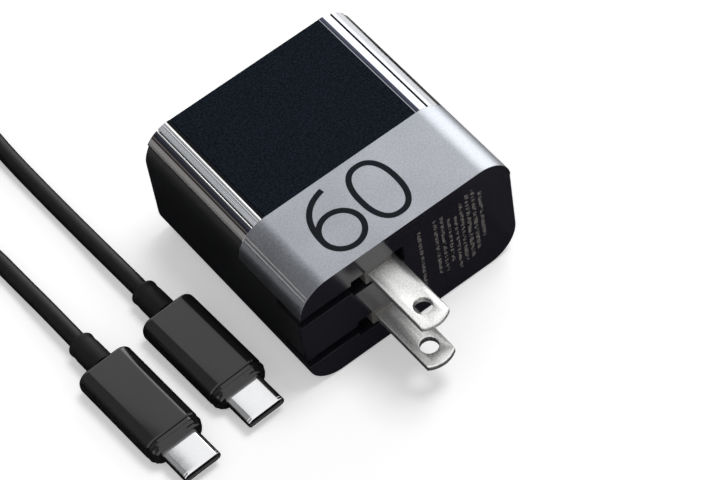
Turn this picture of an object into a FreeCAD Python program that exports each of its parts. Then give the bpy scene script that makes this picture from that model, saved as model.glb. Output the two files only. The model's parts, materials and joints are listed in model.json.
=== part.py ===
import FreeCAD, Part
import math
import os

import Sketcher
from FreeCAD import Placement, Rotation, Vector

# Wall-plug power adapter with two folding blades, and the lead that lies beside it.
# Millimetres. X runs left to right, Y from the blade face to the back, Z up.
# The origin is the centre of the flat face that the adapter rests on.

os.makedirs("parts", exist_ok=True)
doc = FreeCAD.newDocument("power_adapter")

drivingSizes = [
    ("body_width", 48.0, "body, left to right"),
    ("body_depth", 47.4, "body, blade face to back face"),
    ("body_height", 28.5, "body, resting face to top"),
    ("corner_radius", 6.8, "the four long edges of the body"),
    ("wall", 2.0, "housing side walls, floor and roof"),
    ("back_wall", 2.0, "housing back wall"),
    ("face_plate", 1.2, "front cover behind the blade face"),
    ("skin", 1.0, "cap, panel and trim bars set into the housing"),
    ("cap_length", 18.2, "silver cap, front to rear edge"),
    ("cap_edge_angle", 86.6, "cap's side edges, from the vertical about the corner's centre"),
    ("trim_edge_angle", 53.0, "trim's lower edge, from the vertical"),
    ("trim_split_angle", 23.5, "groove between the two bars of a trim, from the vertical"),
    ("trim_groove", 0.5, "width of that groove"),
    ("edge_break", 0.2, "small chamfer on the bars, the panel and the cap's rear edge"),
    ("cap_front_break", 0.4, "bright chamfer on the cap's front edge"),
    ("housing_break", 0.6, "chamfer round the back of the housing"),
    ("cover_break", 0.25, "broken edge round the blade face"),
    ("fit_gap", 0.1, "front cover inside the housing, boards beside walls"),
    ("skirt", 1.0, "front cover's skirt inside the housing"),
    ("skirt_corner", 2.4, "inner corners of the skirt"),
    ("blade_width", 6.35, "blade, flat side"),
    ("blade_thickness", 1.5, "blade, thin side"),
    ("blade_spacing", 12.7, "from blade to blade"),
    ("blade_reach", 16.0, "blade face to blade tip"),
    ("blade_tip_rise", 1.0, "height of the rounded tip"),
    ("blade_hole", 3.6, "hole through the blade"),
    ("blade_hole_reach", 11.5, "blade face to the hole's centre"),
    ("blade_break", 0.2, "broken edges at the blade's tip"),
    ("blade_lift", 0.25, "blades' middle above the body's middle"),
    ("pivot_x", -4.6, "folding axis, across the body"),
    ("pivot_depth", 3.2, "folding axis, behind the blade face"),
    ("blade_offset", 0.85, "blade's middle, left of the folding axis"),
    ("slot_half", 1.2, "half the height of a folding slot"),
    ("slot_depth", 7.6, "folding slot, behind the blade face"),
    ("slot_edge_rise", 0.6, "upper slot's outer end, above the corner's centre"),
    ("pocket_half", 2.2, "half the height of the hub's pocket"),
    ("pocket_left", 12.55, "hub's pocket, left edge from the middle"),
    ("pocket_right", 0.6, "hub's pocket, right edge from the middle"),
    ("bay_depth", 8.9, "front cover's inner block, behind the blade face"),
    ("bay_wall", 0.9, "inner block above and below the pocket"),
    ("bay_right", 4.2, "inner block's right side"),
    ("hub_half", 1.9, "half the height of the carrier's hub"),
    ("hub_left", 4.7, "hub's left side from the folding axis"),
    ("hub_nose", 2.9, "hub's round nose about the folding axis"),
    ("hub_back", 2.4, "hub's back from the folding axis"),
    ("hub_bevel", 1.3, "hub's bevelled back corner"),
    ("blade_shoulder", 0.6, "blade's shoulders inside the hub's back"),
    ("shaft_radius", 1.8, "carrier's shaft"),
    ("running_gap", 0.05, "shaft in its bearings, contact to blade tail"),
    ("shaft_end", 0.45, "shaft past its outer bearing"),
    ("tail_radius", 4.7, "blade's tail, about the folding axis"),
    ("tail_width", 3.0, "blade's tail"),
    ("tail_clear", 0.35, "room round the swinging tail"),
    ("lobe_radius", 3.4, "detent lobe on the shaft"),
    ("lobe_height", 2.6, "detent lobe, up the shaft"),
    ("notch_radius", 0.5, "detent notches"),
    ("notch_offset", 0.35, "a notch's centre past the lobe's radius"),
    ("spring_gap", 0.5, "leaf spring past the detent lobe"),
    ("spring_half", 4.4, "half the leaf spring's length"),
    ("spring_bump", 0.45, "radius of the leaf spring's bump"),
    ("spring_post", 1.2, "width of the posts that carry the leaf spring"),
    ("retainer_plate", 1.2, "plate that closes the bearings from behind"),
    ("retainer_inset", 0.2, "plate inside the inner block's right side"),
    ("retainer_corner", 0.8, "plate's round corners"),
    ("strip", 0.3, "contact and detent spring sheet"),
    ("contact_bow", 1.0, "outer radius of a contact's bow"),
    ("contact_width", 2.4, "contact strip"),
    ("contact_lip", 0.6, "short end of a contact"),
    ("contact_drop", 4.6, "end of the upper contact's tag below its blade"),
    ("contact_clear", 0.15, "room round a contact in the retainer"),
    ("contact_lead_radius", 0.6, "wire from the upper contact to the main board"),
    ("screw_radius", 0.8, "retainer screw"),
    ("screw_length", 6.0, "retainer screw below its head"),
    ("screw_head_radius", 1.5, "retainer screw's head"),
    ("screw_head", 1.0, "height of a retainer screw's head"),
    ("screw_cross", 0.9, "half the length of the screw's cross recess"),
    ("screw_slot", 0.2, "half the width of that recess"),
    ("screw_recess", 0.5, "depth of that recess"),
    ("screw_x", 2.2, "retainer screws, across the body"),
    ("screw_pilot", 0.02, "pilot hole past a screw's radius"),
    ("screw_clear", 0.1, "retainer's hole past a screw's radius"),
    ("board_level", 4.4, "underside of the main board"),
    ("board", 1.6, "thickness of the main board"),
    ("board_inset", 1.0, "main board's side and back edges inside the walls"),
    ("board_corner", 1.0, "main board's round corners"),
    ("board_post", 1.6, "radius of the posts under the main board"),
    ("post_inset", 3.5, "posts inside the walls and the board's ends"),
    ("sheet_gap", 0.3, "insulating sheet on the floor"),
    ("outlet_width", 8.94, "outlet shell, outside"),
    ("outlet_height", 3.26, "outlet shell, outside"),
    ("outlet_sheet", 0.3, "outlet shell's metal"),
    ("outlet_setback", 0.6, "outlet shell's mouth behind the back face"),
    ("outlet_length", 9.8, "outlet shell, output board to mouth"),
    ("outlet_floor", 1.2, "solid end of the outlet shell"),
    ("tongue_width", 6.7, "outlet's tongue"),
    ("tongue_sheet", 0.7, "outlet's tongue"),
    ("tongue_setback", 0.8, "tongue's end inside the shell's mouth"),
    ("tongue_break", 0.2, "broken edges at the tongue's end"),
    ("output_board", 1.0, "thickness of the output board"),
    ("output_overhang", 2.3, "output board past the transformer's right side"),
    ("part_gap", 0.6, "between neighbours on the boards"),
    ("edge_gap", 0.4, "parts inside the main board's edge"),
    ("seat_gap", 0.3, "parts that nearly touch"),
    ("head_room", 3.0, "tall parts under the housing's roof"),
    ("front_clear", 3.9, "first row of parts behind the retainer"),
    ("fuse_length", 8.4, "fuse, side to side"),
    ("fuse_depth", 4.0, "fuse, front to back"),
    ("fuse_height", 8.0, "fuse"),
    ("fuse_round", 1.5, "fuse's upright edges"),
    ("filter_length", 13.0, "filter capacitor and bridge rectifier, side to side"),
    ("filter_depth", 6.0, "filter capacitor, front to back"),
    ("filter_height", 12.0, "filter capacitor"),
    ("filter_round", 0.8, "filter capacitor's upright edges"),
    ("bridge_depth", 2.1, "bridge rectifier, front to back"),
    ("bridge_height", 9.0, "bridge rectifier"),
    ("bridge_round", 0.4, "bridge rectifier's upright edges"),
    ("bulk_radius", 5.0, "two bulk capacitors on the left"),
    ("side_radius", 4.5, "bulk capacitor on the right"),
    ("groove_depth", 0.4, "crimped groove of a capacitor"),
    ("groove_width", 0.8, "crimped groove of a capacitor"),
    ("groove_level", 2.2, "crimped groove above the board"),
    ("can_round", 0.6, "rim of a bulk capacitor"),
    ("small_can_round", 0.4, "rim of an output capacitor"),
    ("choke_radius", 6.2, "filter choke, outside"),
    ("choke_bore", 3.0, "filter choke, radius of its hole"),
    ("choke_depth", 5.6, "filter choke, front to back"),
    ("choke_round", 0.8, "filter choke's rounded edges"),
    ("choke_rise", 1.2, "filter choke above the board"),
    ("choke_seat", 3.0, "choke base, upward"),
    ("core_base", 1.5, "transformer's base"),
    ("core_side", 2.6, "transformer core's side legs"),
    ("core_yoke", 3.0, "transformer core's top and bottom"),
    ("core_leg", 1.9, "radius of the core's middle leg"),
    ("bobbin_sheet", 0.5, "bobbin's tube and flanges"),
    ("flange_inset", 0.5, "bobbin's flanges inside the core's faces"),
    ("winding_inset", 0.2, "winding inside the bobbin's flanges"),
    ("coupler_width", 4.8, "feedback coupler, side to side"),
    ("coupler_depth", 3.7, "feedback coupler, front to back"),
    ("coupler_height", 3.5, "feedback coupler"),
    ("coupler_round", 0.3, "feedback coupler's upright edges"),
    ("sync_width", 6.0, "sync rectifier, side to side"),
    ("sync_height", 5.0, "sync rectifier, upward"),
    ("sync_sheet", 1.0, "sync rectifier, thickness"),
    ("sync_break", 0.2, "sync rectifier's bevelled face"),
    ("chip_sheet", 0.85, "primary switch, thickness"),
    ("chip_side", 8.0, "primary switch, square"),
    ("pad_side", 10.0, "thermal pad, square"),
    ("spreader_sheet", 0.5, "heat spreader, thickness"),
    ("spreader_width", 24.0, "heat spreader, side to side"),
    ("spreader_depth", 18.0, "heat spreader, front to back"),
    ("cord_diameter", 3.5, "round lead"),
    ("boot_width", 11.8, "plug's moulded boot"),
    ("boot_height", 5.8, "plug's moulded boot"),
    ("boot_length", 20.5, "plug's moulded boot"),
    ("boot_radius", 2.6, "plug's moulded boot, long edges"),
    ("boot_round", 0.9, "boot's rounded rear edge"),
    ("boot_break", 0.25, "boot's front edge"),
    ("nose_length", 2.4, "ring at the front of the boot"),
    ("nose_inset", 0.05, "ring inside the boot's outline"),
    ("nose_break", 0.5, "ring's bevelled front edge"),
    ("relief_length", 7.2, "strain relief behind the boot"),
    ("relief_radius", 2.7, "strain relief behind the boot"),
    ("relief_break", 0.5, "strain relief's rear edge"),
    ("plug_width", 8.25, "plug's metal shell"),
    ("plug_height", 2.4, "plug's metal shell"),
    ("plug_sheet", 0.25, "plug's metal"),
    ("plug_lip", 0.12, "broken edge of the shell's mouth"),
    ("plug_setback", 0.4, "contacts' block inside the shell's mouth"),
    ("plug_slot_depth", 5.0, "slot in the contacts' block"),
    ("plug_slot_side", 0.5, "contacts' block beside its slot"),
    ("plug_slot_roof", 0.45, "contacts' block above and below its slot"),
    ("plug_reach", 6.65, "plug's metal shell in front of the nose ring"),
    ("plug_angle", 2.0, "both plugs, turned from the body's sides"),
    ("near_plug_x", -35.7, "where the lead leaves the near plug"),
    ("near_plug_y", 13.0, "where the lead leaves the near plug"),
    ("far_plug_x", -51.2, "where the lead leaves the far plug"),
    ("far_plug_y", 11.4, "where the lead leaves the far plug"),
    ("coil_x", -62.0, "middle of the coiled length"),
    ("coil_y", 85.3, "middle of the coiled length"),
    ("coil_radius", 26.2, "outer turn of the coil, at the cord's middle"),
    ("coil_pitch", 4.3, "from turn to turn, outward"),
    ("coil_rise", 4.0, "from layer to layer"),
    ("tie_sheet", 0.5, "strap round the coil"),
    ("tie_width", 6.0, "strap round the coil"),
    ("tie_corner", 0.9, "strap's inner bends"),
    ("tie_gap", 0.1, "strap below and above the coil"),
    ("tie_inside", 1.2, "strap inside the inner turn"),
    ("tie_angle", 115.0, "strap's place round the coil"),
]

sheet = doc.addObject("Spreadsheet::Sheet", "dims")
for row, (alias, number, note) in enumerate(drivingSizes, start=1):
    sheet.set(f"A{row}", alias)
    sheet.set(f"B{row}", str(number))
    sheet.set(f"C{row}", note)
    sheet.setAlias(f"B{row}", alias)
doc.recompute()


class Size:
    """A number together with the sheet expression that gives it."""

    def __init__(self, value, text):
        self.value = value
        self.text = text

    def __add__(self, other):
        other = asSize(other)
        return Size(self.value + other.value, f"({self.text} + {other.text})")

    def __sub__(self, other):
        other = asSize(other)
        return Size(self.value - other.value, f"({self.text} - {other.text})")

    def __mul__(self, other):
        other = asSize(other)
        return Size(self.value * other.value, f"({self.text} * {other.text})")

    def __truediv__(self, other):
        other = asSize(other)
        return Size(self.value / other.value, f"({self.text} / {other.text})")

    def __neg__(self):
        return Size(-self.value, f"(-1 * {self.text})")

    __radd__ = __add__
    __rmul__ = __mul__

    def __rsub__(self, other):
        return asSize(other) - self


def asSize(item):
    return item if isinstance(item, Size) else Size(float(item), f"{float(item):.6f}")


def sine(angle):
    return Size(math.sin(math.radians(angle.value)), f"sin({angle.text})")


def cosine(angle):
    return Size(math.cos(math.radians(angle.value)), f"cos({angle.text})")


class Sizes:
    """Every driving size of the sheet, by its alias."""


d = Sizes()
for alias, number, note in drivingSizes:
    setattr(d, alias, Size(float(sheet.get(alias)), f"dims.{alias}"))

halfWidth = d.body_width / 2
front = -(d.body_depth / 2)
back = d.body_depth / 2
innerX = halfWidth - d.wall
innerTop = d.body_height - d.wall
cornerX = halfWidth - d.corner_radius
cornerZ = d.body_height - d.corner_radius
capBack = front + d.cap_length
upperLevel = d.body_height / 2 + d.blade_spacing / 2 + d.blade_lift
lowerLevel = upperLevel - d.blade_spacing
levels = [("upper", upperLevel), ("lower", lowerLevel)]
pivotY = front + d.pivot_depth
boardTop = d.board_level + d.board
outletLevel = d.body_height / 2
bayBack = front + d.bay_depth
retainerBack = bayBack + d.retainer_plate
runOut = Size(1.0, "1.0")            # cutters, past the faces that they open
lap = Size(0.5, "0.5")               # joined pads and cuts, into each other
leastFlat = Size(0.01, "0.01")       # flat left between two full rounds
slack = 0.01                         # how near a level an edge lies to be picked
boardX = innerX - d.board_inset
boardFront = retainerBack + d.screw_head + d.seat_gap
boardBack = back - d.back_wall - d.board_inset
pieces = []


def bind(item, prop, size):
    item.setExpression(prop, asSize(size).text)


def named(item, label):
    item.Label = label
    pieces.append(item)
    return item


# Sketched features

def newBody(label):
    return named(doc.addObject("PartDesign::Body", label), label)


def originPlane(body, role):
    return next(item for item in body.Origin.OriginFeatures if item.Role == role)


def sketchOn(body, plane, level):
    """A sketch on one of the body's own origin planes, moved to a level along that axis."""
    sketch = body.newObject("Sketcher::SketchObject", f"{body.Name}_sketch")
    sketch.AttachmentSupport = [(originPlane(body, f"{plane}_Plane"), "")]
    sketch.MapMode = "FlatFace"
    bind(sketch, "AttachmentOffset.Base.z", -asSize(level) if plane == "XZ" else level)
    return sketch


def held(sketch, kind, *parts):
    """Adds a constraint whose last part is a size, and binds it to the sheet."""
    size = asSize(parts[-1])
    index = sketch.addConstraint(Sketcher.Constraint(kind, *parts[:-1], size.value))
    sketch.setExpression(f"Constraints[{index}]", size.text)


def pinPoint(sketch, geometry, end, x, y):
    held(sketch, "DistanceX", -1, 1, geometry, end, x)
    held(sketch, "DistanceY", -1, 1, geometry, end, y)


def vec(x, y):
    return Vector(asSize(x).value, asSize(y).value, 0)


def polygon(corners):
    """Straight sides through the corners, each corner held by its own two sizes."""
    def draw(sketch):
        first = sketch.GeometryCount
        count = len(corners)
        for index, (x, y) in enumerate(corners):
            nextX, nextY = corners[(index + 1) % count]
            sketch.addGeometry(Part.LineSegment(vec(x, y), vec(nextX, nextY)))
        for index, (x, y) in enumerate(corners):
            line = first + index
            sketch.addConstraint(
                Sketcher.Constraint("Coincident", line, 2, first + (index + 1) % count, 1))
            pinPoint(sketch, line, 1, x, y)
    return draw


def rectangle(x0, x1, y0, y1):
    return polygon([(x0, y0), (x1, y0), (x1, y1), (x0, y1)])


def circle(x, y, radius):
    def draw(sketch):
        index = sketch.addGeometry(Part.Circle(vec(x, y), Vector(0, 0, 1), asSize(radius).value))
        held(sketch, "Radius", index, radius)
        pinPoint(sketch, index, 3, x, y)
    return draw


def rounded(x0, x1, y0, y1, radius):
    """A rectangle with four equal round corners."""
    def draw(sketch):
        x0s, x1s, y0s, y1s, r = (asSize(item) for item in (x0, x1, y0, y1, radius))
        centres = [(x0s + r, y0s + r, 180), (x1s - r, y0s + r, 270),
                   (x1s - r, y1s - r, 0), (x0s + r, y1s - r, 90)]
        arcs = []
        for cx, cy, start in centres:
            base = Part.Circle(vec(cx, cy), Vector(0, 0, 1), r.value)
            arc = Part.ArcOfCircle(base, math.radians(start), math.radians(start + 90))
            index = sketch.addGeometry(arc)
            arcs.append(index)
            pinPoint(sketch, index, 3, cx, cy)
        for number, index in enumerate(arcs):
            held(sketch, "Radius", index, r)
            following = arcs[(number + 1) % 4]
            start = sketch.Geometry[index].EndPoint
            stop = sketch.Geometry[following].StartPoint
            line = sketch.addGeometry(Part.LineSegment(start, stop))
            sketch.addConstraint(Sketcher.Constraint("Tangent", index, 2, line, 1))
            sketch.addConstraint(Sketcher.Constraint("Tangent", line, 2, following, 1))
    return draw


def outline(segments):
    """A closed outline of lines and arcs. A segment is (x, y) for a line that starts there,
    or (x, y, centre x, centre y, turn) for an arc, turn being 1 or -1."""
    def draw(sketch):
        first = sketch.GeometryCount
        count = len(segments)
        for index, segment in enumerate(segments):
            start = vec(*segment[:2])
            stop = vec(*segments[(index + 1) % count][:2])
            if len(segment) == 2:
                sketch.addGeometry(Part.LineSegment(start, stop))
                continue
            centre = vec(*segment[2:4])
            a, b = (math.atan2((p - centre).y, (p - centre).x) for p in (start, stop))
            if segment[4] < 0:
                a, b = b, a
            base = Part.Circle(centre, Vector(0, 0, 1), (start - centre).Length)
            sketch.addGeometry(Part.ArcOfCircle(base, a, b if b > a else b + 2 * math.pi))
        for index, segment in enumerate(segments):
            item = first + index
            following = first + (index + 1) % count
            backward = len(segment) > 2 and segment[4] < 0
            nextBackward = len(segments[(index + 1) % count]) > 2
            nextBackward = nextBackward and segments[(index + 1) % count][4] < 0
            sketch.addConstraint(Sketcher.Constraint(
                "Coincident", item, 1 if backward else 2, following, 2 if nextBackward else 1))
            pinPoint(sketch, item, 2 if backward else 1, *segment[:2])
            if len(segment) > 2:
                chord = vec(*segments[(index + 1) % count][:2]) - vec(*segment[:2])
                if abs(chord.x) > abs(chord.y):
                    held(sketch, "DistanceY", -1, 1, item, 3, segment[3])
                else:
                    held(sketch, "DistanceX", -1, 1, item, 3, segment[2])
    return draw


def addPad(body, plane, start, end, draw):
    """Adds material between two levels along the plane's axis."""
    sketch = sketchOn(body, plane, start)
    draw(sketch)
    pad = body.newObject("PartDesign::Pad", f"{body.Name}_pad")
    pad.Profile = sketch
    bind(pad, "Length", asSize(end) - asSize(start))
    pad.Reversed = plane == "XZ"
    body.Tip = pad
    return pad


def addPocket(body, plane, start, end, draw):
    """Takes material away between two levels along the plane's axis."""
    doc.recompute()
    before = body.Shape.Volume
    sketch = sketchOn(body, plane, start if plane == "XZ" else end)
    draw(sketch)
    pocket = body.newObject("PartDesign::Pocket", f"{body.Name}_pocket")
    pocket.Profile = sketch
    bind(pocket, "Length", asSize(end) - asSize(start))
    body.Tip = pocket
    doc.recompute()
    if body.Shape.Volume >= before:
        print("nothing was cut by", pocket.Name)
    return pocket


def breakEdges(body, size, chosen, kind="Chamfer"):
    """Chamfers or fillets those edges of the body that the rule picks."""
    doc.recompute()
    base = body.Tip
    names = [f"Edge{number}" for number, edge in enumerate(base.Shape.Edges, start=1)
             if chosen(edge)]
    feature = body.newObject(f"PartDesign::{kind}", f"{body.Name}_{kind.lower()}")
    feature.Base = (base, names)
    bind(feature, "Size" if kind == "Chamfer" else "Radius", size)
    body.Tip = feature
    doc.recompute()
    return feature


def lies(edge, axis, value, slack=0.001):
    """Whether an edge lies wholly at one level along an axis."""
    box = edge.BoundBox
    low, high = {"x": (box.XMin, box.XMax), "y": (box.YMin, box.YMax),
                 "z": (box.ZMin, box.ZMax)}[axis]
    return abs(low - asSize(value).value) < slack and abs(high - asSize(value).value) < slack


# Primitives and booleans

def place(item, x, y, z, axis=None, angle=0):
    if axis is not None:
        item.Placement = Placement(Vector(), Rotation(axis, angle))
    for letter, size in (("x", x), ("y", y), ("z", z)):
        bind(item, f"Placement.Base.{letter}", size)
    return item


def block(x0, x1, y0, y1, z0, z1, name="block"):
    item = doc.addObject("Part::Box", name)
    for prop, low, high in (("Length", x0, x1), ("Width", y0, y1), ("Height", z0, z1)):
        bind(item, prop, asSize(high) - asSize(low))
    return place(item, x0, y0, z0)


def rod(radius, length, x, y, z, axis=None, angle=0, name="rod"):
    item = doc.addObject("Part::Cylinder", name)
    bind(item, "Radius", radius)
    bind(item, "Height", length)
    return place(item, x, y, z, axis, angle)


def cut(base, *tools):
    item = base
    for tool in tools:
        result = doc.addObject("Part::Cut", "cutaway")
        result.Base, result.Tool = item, tool
        item = result
    return item


def fuse(*items):
    result = doc.addObject("Part::MultiFuse", "joined")
    result.Shapes = list(items)
    result.Refine = True
    return result


def softened(item, size, chosen, kind="Chamfer"):
    """A chamfer or fillet on a primitive, on the edges that the rule picks."""
    doc.recompute()
    feature = doc.addObject(f"Part::{kind}", kind.lower())
    feature.Base = item
    picked = [number for number, edge in enumerate(item.Shape.Edges, start=1) if chosen(edge)]
    feature.Edges = [(number, size.value, size.value) for number in picked]
    return feature


ALONG_Y = (Vector(1, 0, 0), -90)


# The body's outline and the skin set into its top

def skinBand(edgeAngle, extra):
    """The zone of the skin over the roof and the two top corners, down to an angle, with
    its outer side pushed out by extra so that it also serves as a cutter."""
    inner = d.corner_radius - d.skin
    outer = d.corner_radius + extra
    side, up = sine(edgeAngle), cosine(edgeAngle)
    roof = d.body_height + extra
    under = d.body_height - d.skin
    return outline([
        (cornerX, roof, cornerX, cornerZ, -1),
        (cornerX + outer * side, cornerZ + outer * up),
        (cornerX + inner * side, cornerZ + inner * up, cornerX, cornerZ, 1),
        (cornerX, under),
        (-cornerX, under, -cornerX, cornerZ, 1),
        (-cornerX - inner * side, cornerZ + inner * up),
        (-cornerX - outer * side, cornerZ + outer * up, -cornerX, cornerZ, -1),
        (-cornerX, roof),
    ])


def cornerBar(hand, fromAngle, toAngle):
    """A bar bent round a top corner between two angles from the vertical. hand is 1 for
    the right corner and -1 for the left one."""
    inner = d.corner_radius - d.skin
    middle = hand * cornerX
    rows = []
    for angle in (fromAngle, toAngle):
        rows.append([(middle + hand * radius * sine(angle), cornerZ + radius * cosine(angle))
                     for radius in (d.corner_radius, inner)])
    (startOuter, startInner), (stopOuter, stopInner) = rows
    return outline([
        (*startOuter, middle, cornerZ, -hand), stopOuter,
        (*stopInner, middle, cornerZ, hand), startInner,
    ])


def onOutline(point):
    """Whether a point lies on the body's rounded outline, seen from the front."""
    beyondX = abs(point.x) - cornerX.value
    beyondZ = abs(point.z - d.body_height.value / 2) - (cornerZ - d.body_height / 2).value
    outside = math.hypot(max(beyondX, 0), max(beyondZ, 0)) + min(max(beyondX, beyondZ), 0)
    return abs(outside - d.corner_radius.value) < slack


bodyOutline = rounded(-halfWidth, halfWidth, 0, d.body_height, d.corner_radius)
plateBack = front + d.face_plate

# Main housing: a deep cup, open at the front
housing = newBody("main_housing")
addPad(housing, "XZ", plateBack, back, bodyOutline)
addPocket(housing, "XZ", plateBack, capBack, skinBand(d.cap_edge_angle, runOut))
addPocket(housing, "XZ", capBack, back, skinBand(d.trim_edge_angle, runOut))
addPocket(housing, "XZ", plateBack, back - d.back_wall,
          rounded(-innerX, innerX, d.wall, innerTop, d.corner_radius - d.wall))
for name, level in levels:
    addPocket(housing, "YZ", -halfWidth, -innerX,
              rectangle(plateBack, front + d.slot_depth, level - d.slot_half,
                        level + d.slot_half))
upperSlotEdge = rectangle(-halfWidth - runOut, -halfWidth + d.skin + d.fit_gap, upperLevel,
                          cornerZ + d.slot_edge_rise)
addPocket(housing, "XZ", plateBack, front + d.slot_depth, upperSlotEdge)
outletHalfX = d.outlet_width / 2 + d.fit_gap
outletHalfZ = d.outlet_height / 2 + d.fit_gap
addPocket(housing, "XZ", back - d.back_wall, back,
          rounded(-outletHalfX, outletHalfX, outletLevel - outletHalfZ,
                  outletLevel + outletHalfZ, outletHalfZ - leastFlat))
postX = innerX - d.post_inset
for postY in (boardFront + d.post_inset, boardBack - d.post_inset):
    for sideX in (-postX, postX):
        addPad(housing, "XY", d.wall, d.board_level, circle(sideX, postY, d.board_post))
breakEdges(housing, d.housing_break, lambda edge: lies(edge, "y", back)
           and edge.BoundBox.ZMax < cornerZ.value + slack and
           max(abs(edge.BoundBox.XMin), abs(edge.BoundBox.XMax)) > outletHalfX.value + slack)

# Front cover: the blade face with its skirt and the two blade bays
cover = newBody("front_cover")
addPad(cover, "XZ", front, plateBack, bodyOutline)
addPocket(cover, "XZ", front, plateBack, skinBand(d.cap_edge_angle, runOut))
coverX = innerX - d.fit_gap
addPad(cover, "XZ", plateBack, bayBack,
       rounded(-coverX, coverX, d.wall + d.fit_gap, innerTop - d.fit_gap,
               d.corner_radius - d.wall - d.fit_gap))
skirtX = coverX - d.skirt
skirtLow = d.wall + d.fit_gap + d.skirt
skirtHigh = innerTop - d.fit_gap - d.skirt
bayHalf = d.pocket_half + d.bay_wall
for lowZ, highZ, leftX in ((upperLevel + bayHalf, innerTop, -cornerX),
                           (lowerLevel + bayHalf, upperLevel - bayHalf, -skirtX),
                           (d.wall, lowerLevel - bayHalf, -cornerX)):
    addPocket(cover, "XZ", plateBack, bayBack, rectangle(leftX, d.bay_right, lowZ, highZ))
addPocket(cover, "XZ", plateBack, bayBack,
          rounded(d.bay_right, skirtX, skirtLow, skirtHigh, d.skirt_corner))
for name, level in levels:
    addPocket(cover, "XZ", front, bayBack,
              rectangle(-d.pocket_left, -d.pocket_right, level - d.pocket_half,
                        level + d.pocket_half))
    addPocket(cover, "XZ", plateBack, bayBack,
              rectangle(-d.pocket_right - lap, d.pivot_x + d.tail_radius + d.tail_clear,
                        level - d.slot_half, level + d.slot_half))
    addPocket(cover, "XZ", front, front + d.slot_depth,
              rectangle(-halfWidth - runOut, -d.pocket_left + lap, level - d.slot_half,
                        level + d.slot_half))
    addPocket(cover, "XZ", bayBack - d.screw_length + d.retainer_plate, bayBack,
              circle(d.screw_x, level, d.screw_radius + d.screw_pilot))
addPocket(cover, "XZ", front, plateBack, upperSlotEdge)
saddle = d.shaft_radius + d.running_gap
addPocket(cover, "XY", lowerLevel - bayHalf, upperLevel + bayHalf, outline([
    (d.pivot_x + saddle, bayBack + runOut), (d.pivot_x + saddle, pivotY, d.pivot_x, pivotY, -1),
    (d.pivot_x - saddle, pivotY), (d.pivot_x - saddle, bayBack + runOut)]))
capEdgeZ = cornerZ + d.corner_radius * cosine(d.cap_edge_angle)
breakEdges(cover, d.cover_break, lambda edge: lies(edge, "y", front)
           and all(onOutline(vertex.Point) for vertex in edge.Vertexes)
           and edge.BoundBox.ZMax < capEdgeZ.value + slack
           and edge.Length > 2 * d.cover_break.value)

# Skins: the silver cap, the dark panel and two bars round each top corner
cap = newBody("front_cap")
addPad(cap, "XZ", front, capBack, skinBand(d.cap_edge_angle, 0))
breakEdges(cap, d.cap_front_break, lambda edge: lies(edge, "y", front)
           and edge.BoundBox.ZMax > d.body_height.value - slack
           and edge.BoundBox.ZMin > cornerZ.value)

panel = newBody("top_panel")
addPad(panel, "XZ", capBack, back,
       rectangle(-cornerX, cornerX, d.body_height - d.skin, d.body_height))
breakEdges(panel, d.edge_break, lambda edge: lies(edge, "z", d.body_height))

halfGroove = d.trim_groove / d.corner_radius * (90 / math.pi)
barAngles = [("inner", Size(0.0, "0.0"), d.trim_split_angle - halfGroove),
             ("outer", d.trim_split_angle + halfGroove, d.trim_edge_angle)]
for side, hand in (("left", -1), ("right", 1)):
    for place_name, fromAngle, toAngle in barAngles:
        bar = newBody(f"{side}_trim_{place_name}")
        addPad(bar, "XZ", capBack, back, cornerBar(hand, fromAngle, toAngle))
        middleX = hand * cornerX.value

        def outside(edge, middleX=middleX):
            """The bar's long edges and end edges on its outer face."""
            return all(abs(math.hypot(v.X - middleX, v.Z - cornerZ.value)
                           - d.corner_radius.value) < slack for v in edge.Vertexes)
        breakEdges(bar, d.edge_break, outside)


# Blades, their carrier and what holds it

def turned(x, y):
    """A point given from the folding axis, x to the right and y to the back."""
    return d.pivot_x + x, pivotY + y


bladeLeft = -d.blade_offset - d.blade_width / 2
bladeRight = -d.blade_offset + d.blade_width / 2
tipY = -d.pivot_depth - d.blade_reach
shoulderY = tipY + d.blade_tip_rise
tipRadius = (d.blade_width * d.blade_width / 4 + d.blade_tip_rise * d.blade_tip_rise) \
    / (d.blade_tip_rise * 2)
tailHalf = d.tail_width / 2
shoulderBack = d.hub_back - d.blade_shoulder
tailCornerY = Size(math.sqrt(d.tail_radius.value ** 2 - tailHalf.value ** 2),
                   f"sqrt({d.tail_radius.text} ^ 2 - {tailHalf.text} ^ 2)")
bladeOutline = outline([
    (*turned(bladeLeft, shoulderY), *turned(-d.blade_offset, tipY + tipRadius), 1),
    turned(bladeRight, shoulderY),
    turned(bladeRight, shoulderBack),
    turned(tailHalf, shoulderBack),
    (*turned(tailHalf, tailCornerY), *turned(0, 0), 1),
    turned(-tailHalf, tailCornerY),
    turned(-tailHalf, shoulderBack),
    turned(bladeLeft, shoulderBack),
])
for name, level in levels:
    blade = newBody(f"{name}_blade")
    bottom = level - d.blade_thickness / 2
    top = level + d.blade_thickness / 2
    addPad(blade, "XY", bottom, top, bladeOutline)
    addPocket(blade, "XY", bottom, top,
              circle(d.pivot_x - d.blade_offset, front - d.blade_hole_reach, d.blade_hole / 2))
    tipEdgeY = (pivotY + shoulderY).value
    breakEdges(blade, d.blade_break, lambda edge: edge.BoundBox.YMax < tipEdgeY + slack
               and edge.BoundBox.ZLength < slack)

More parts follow.
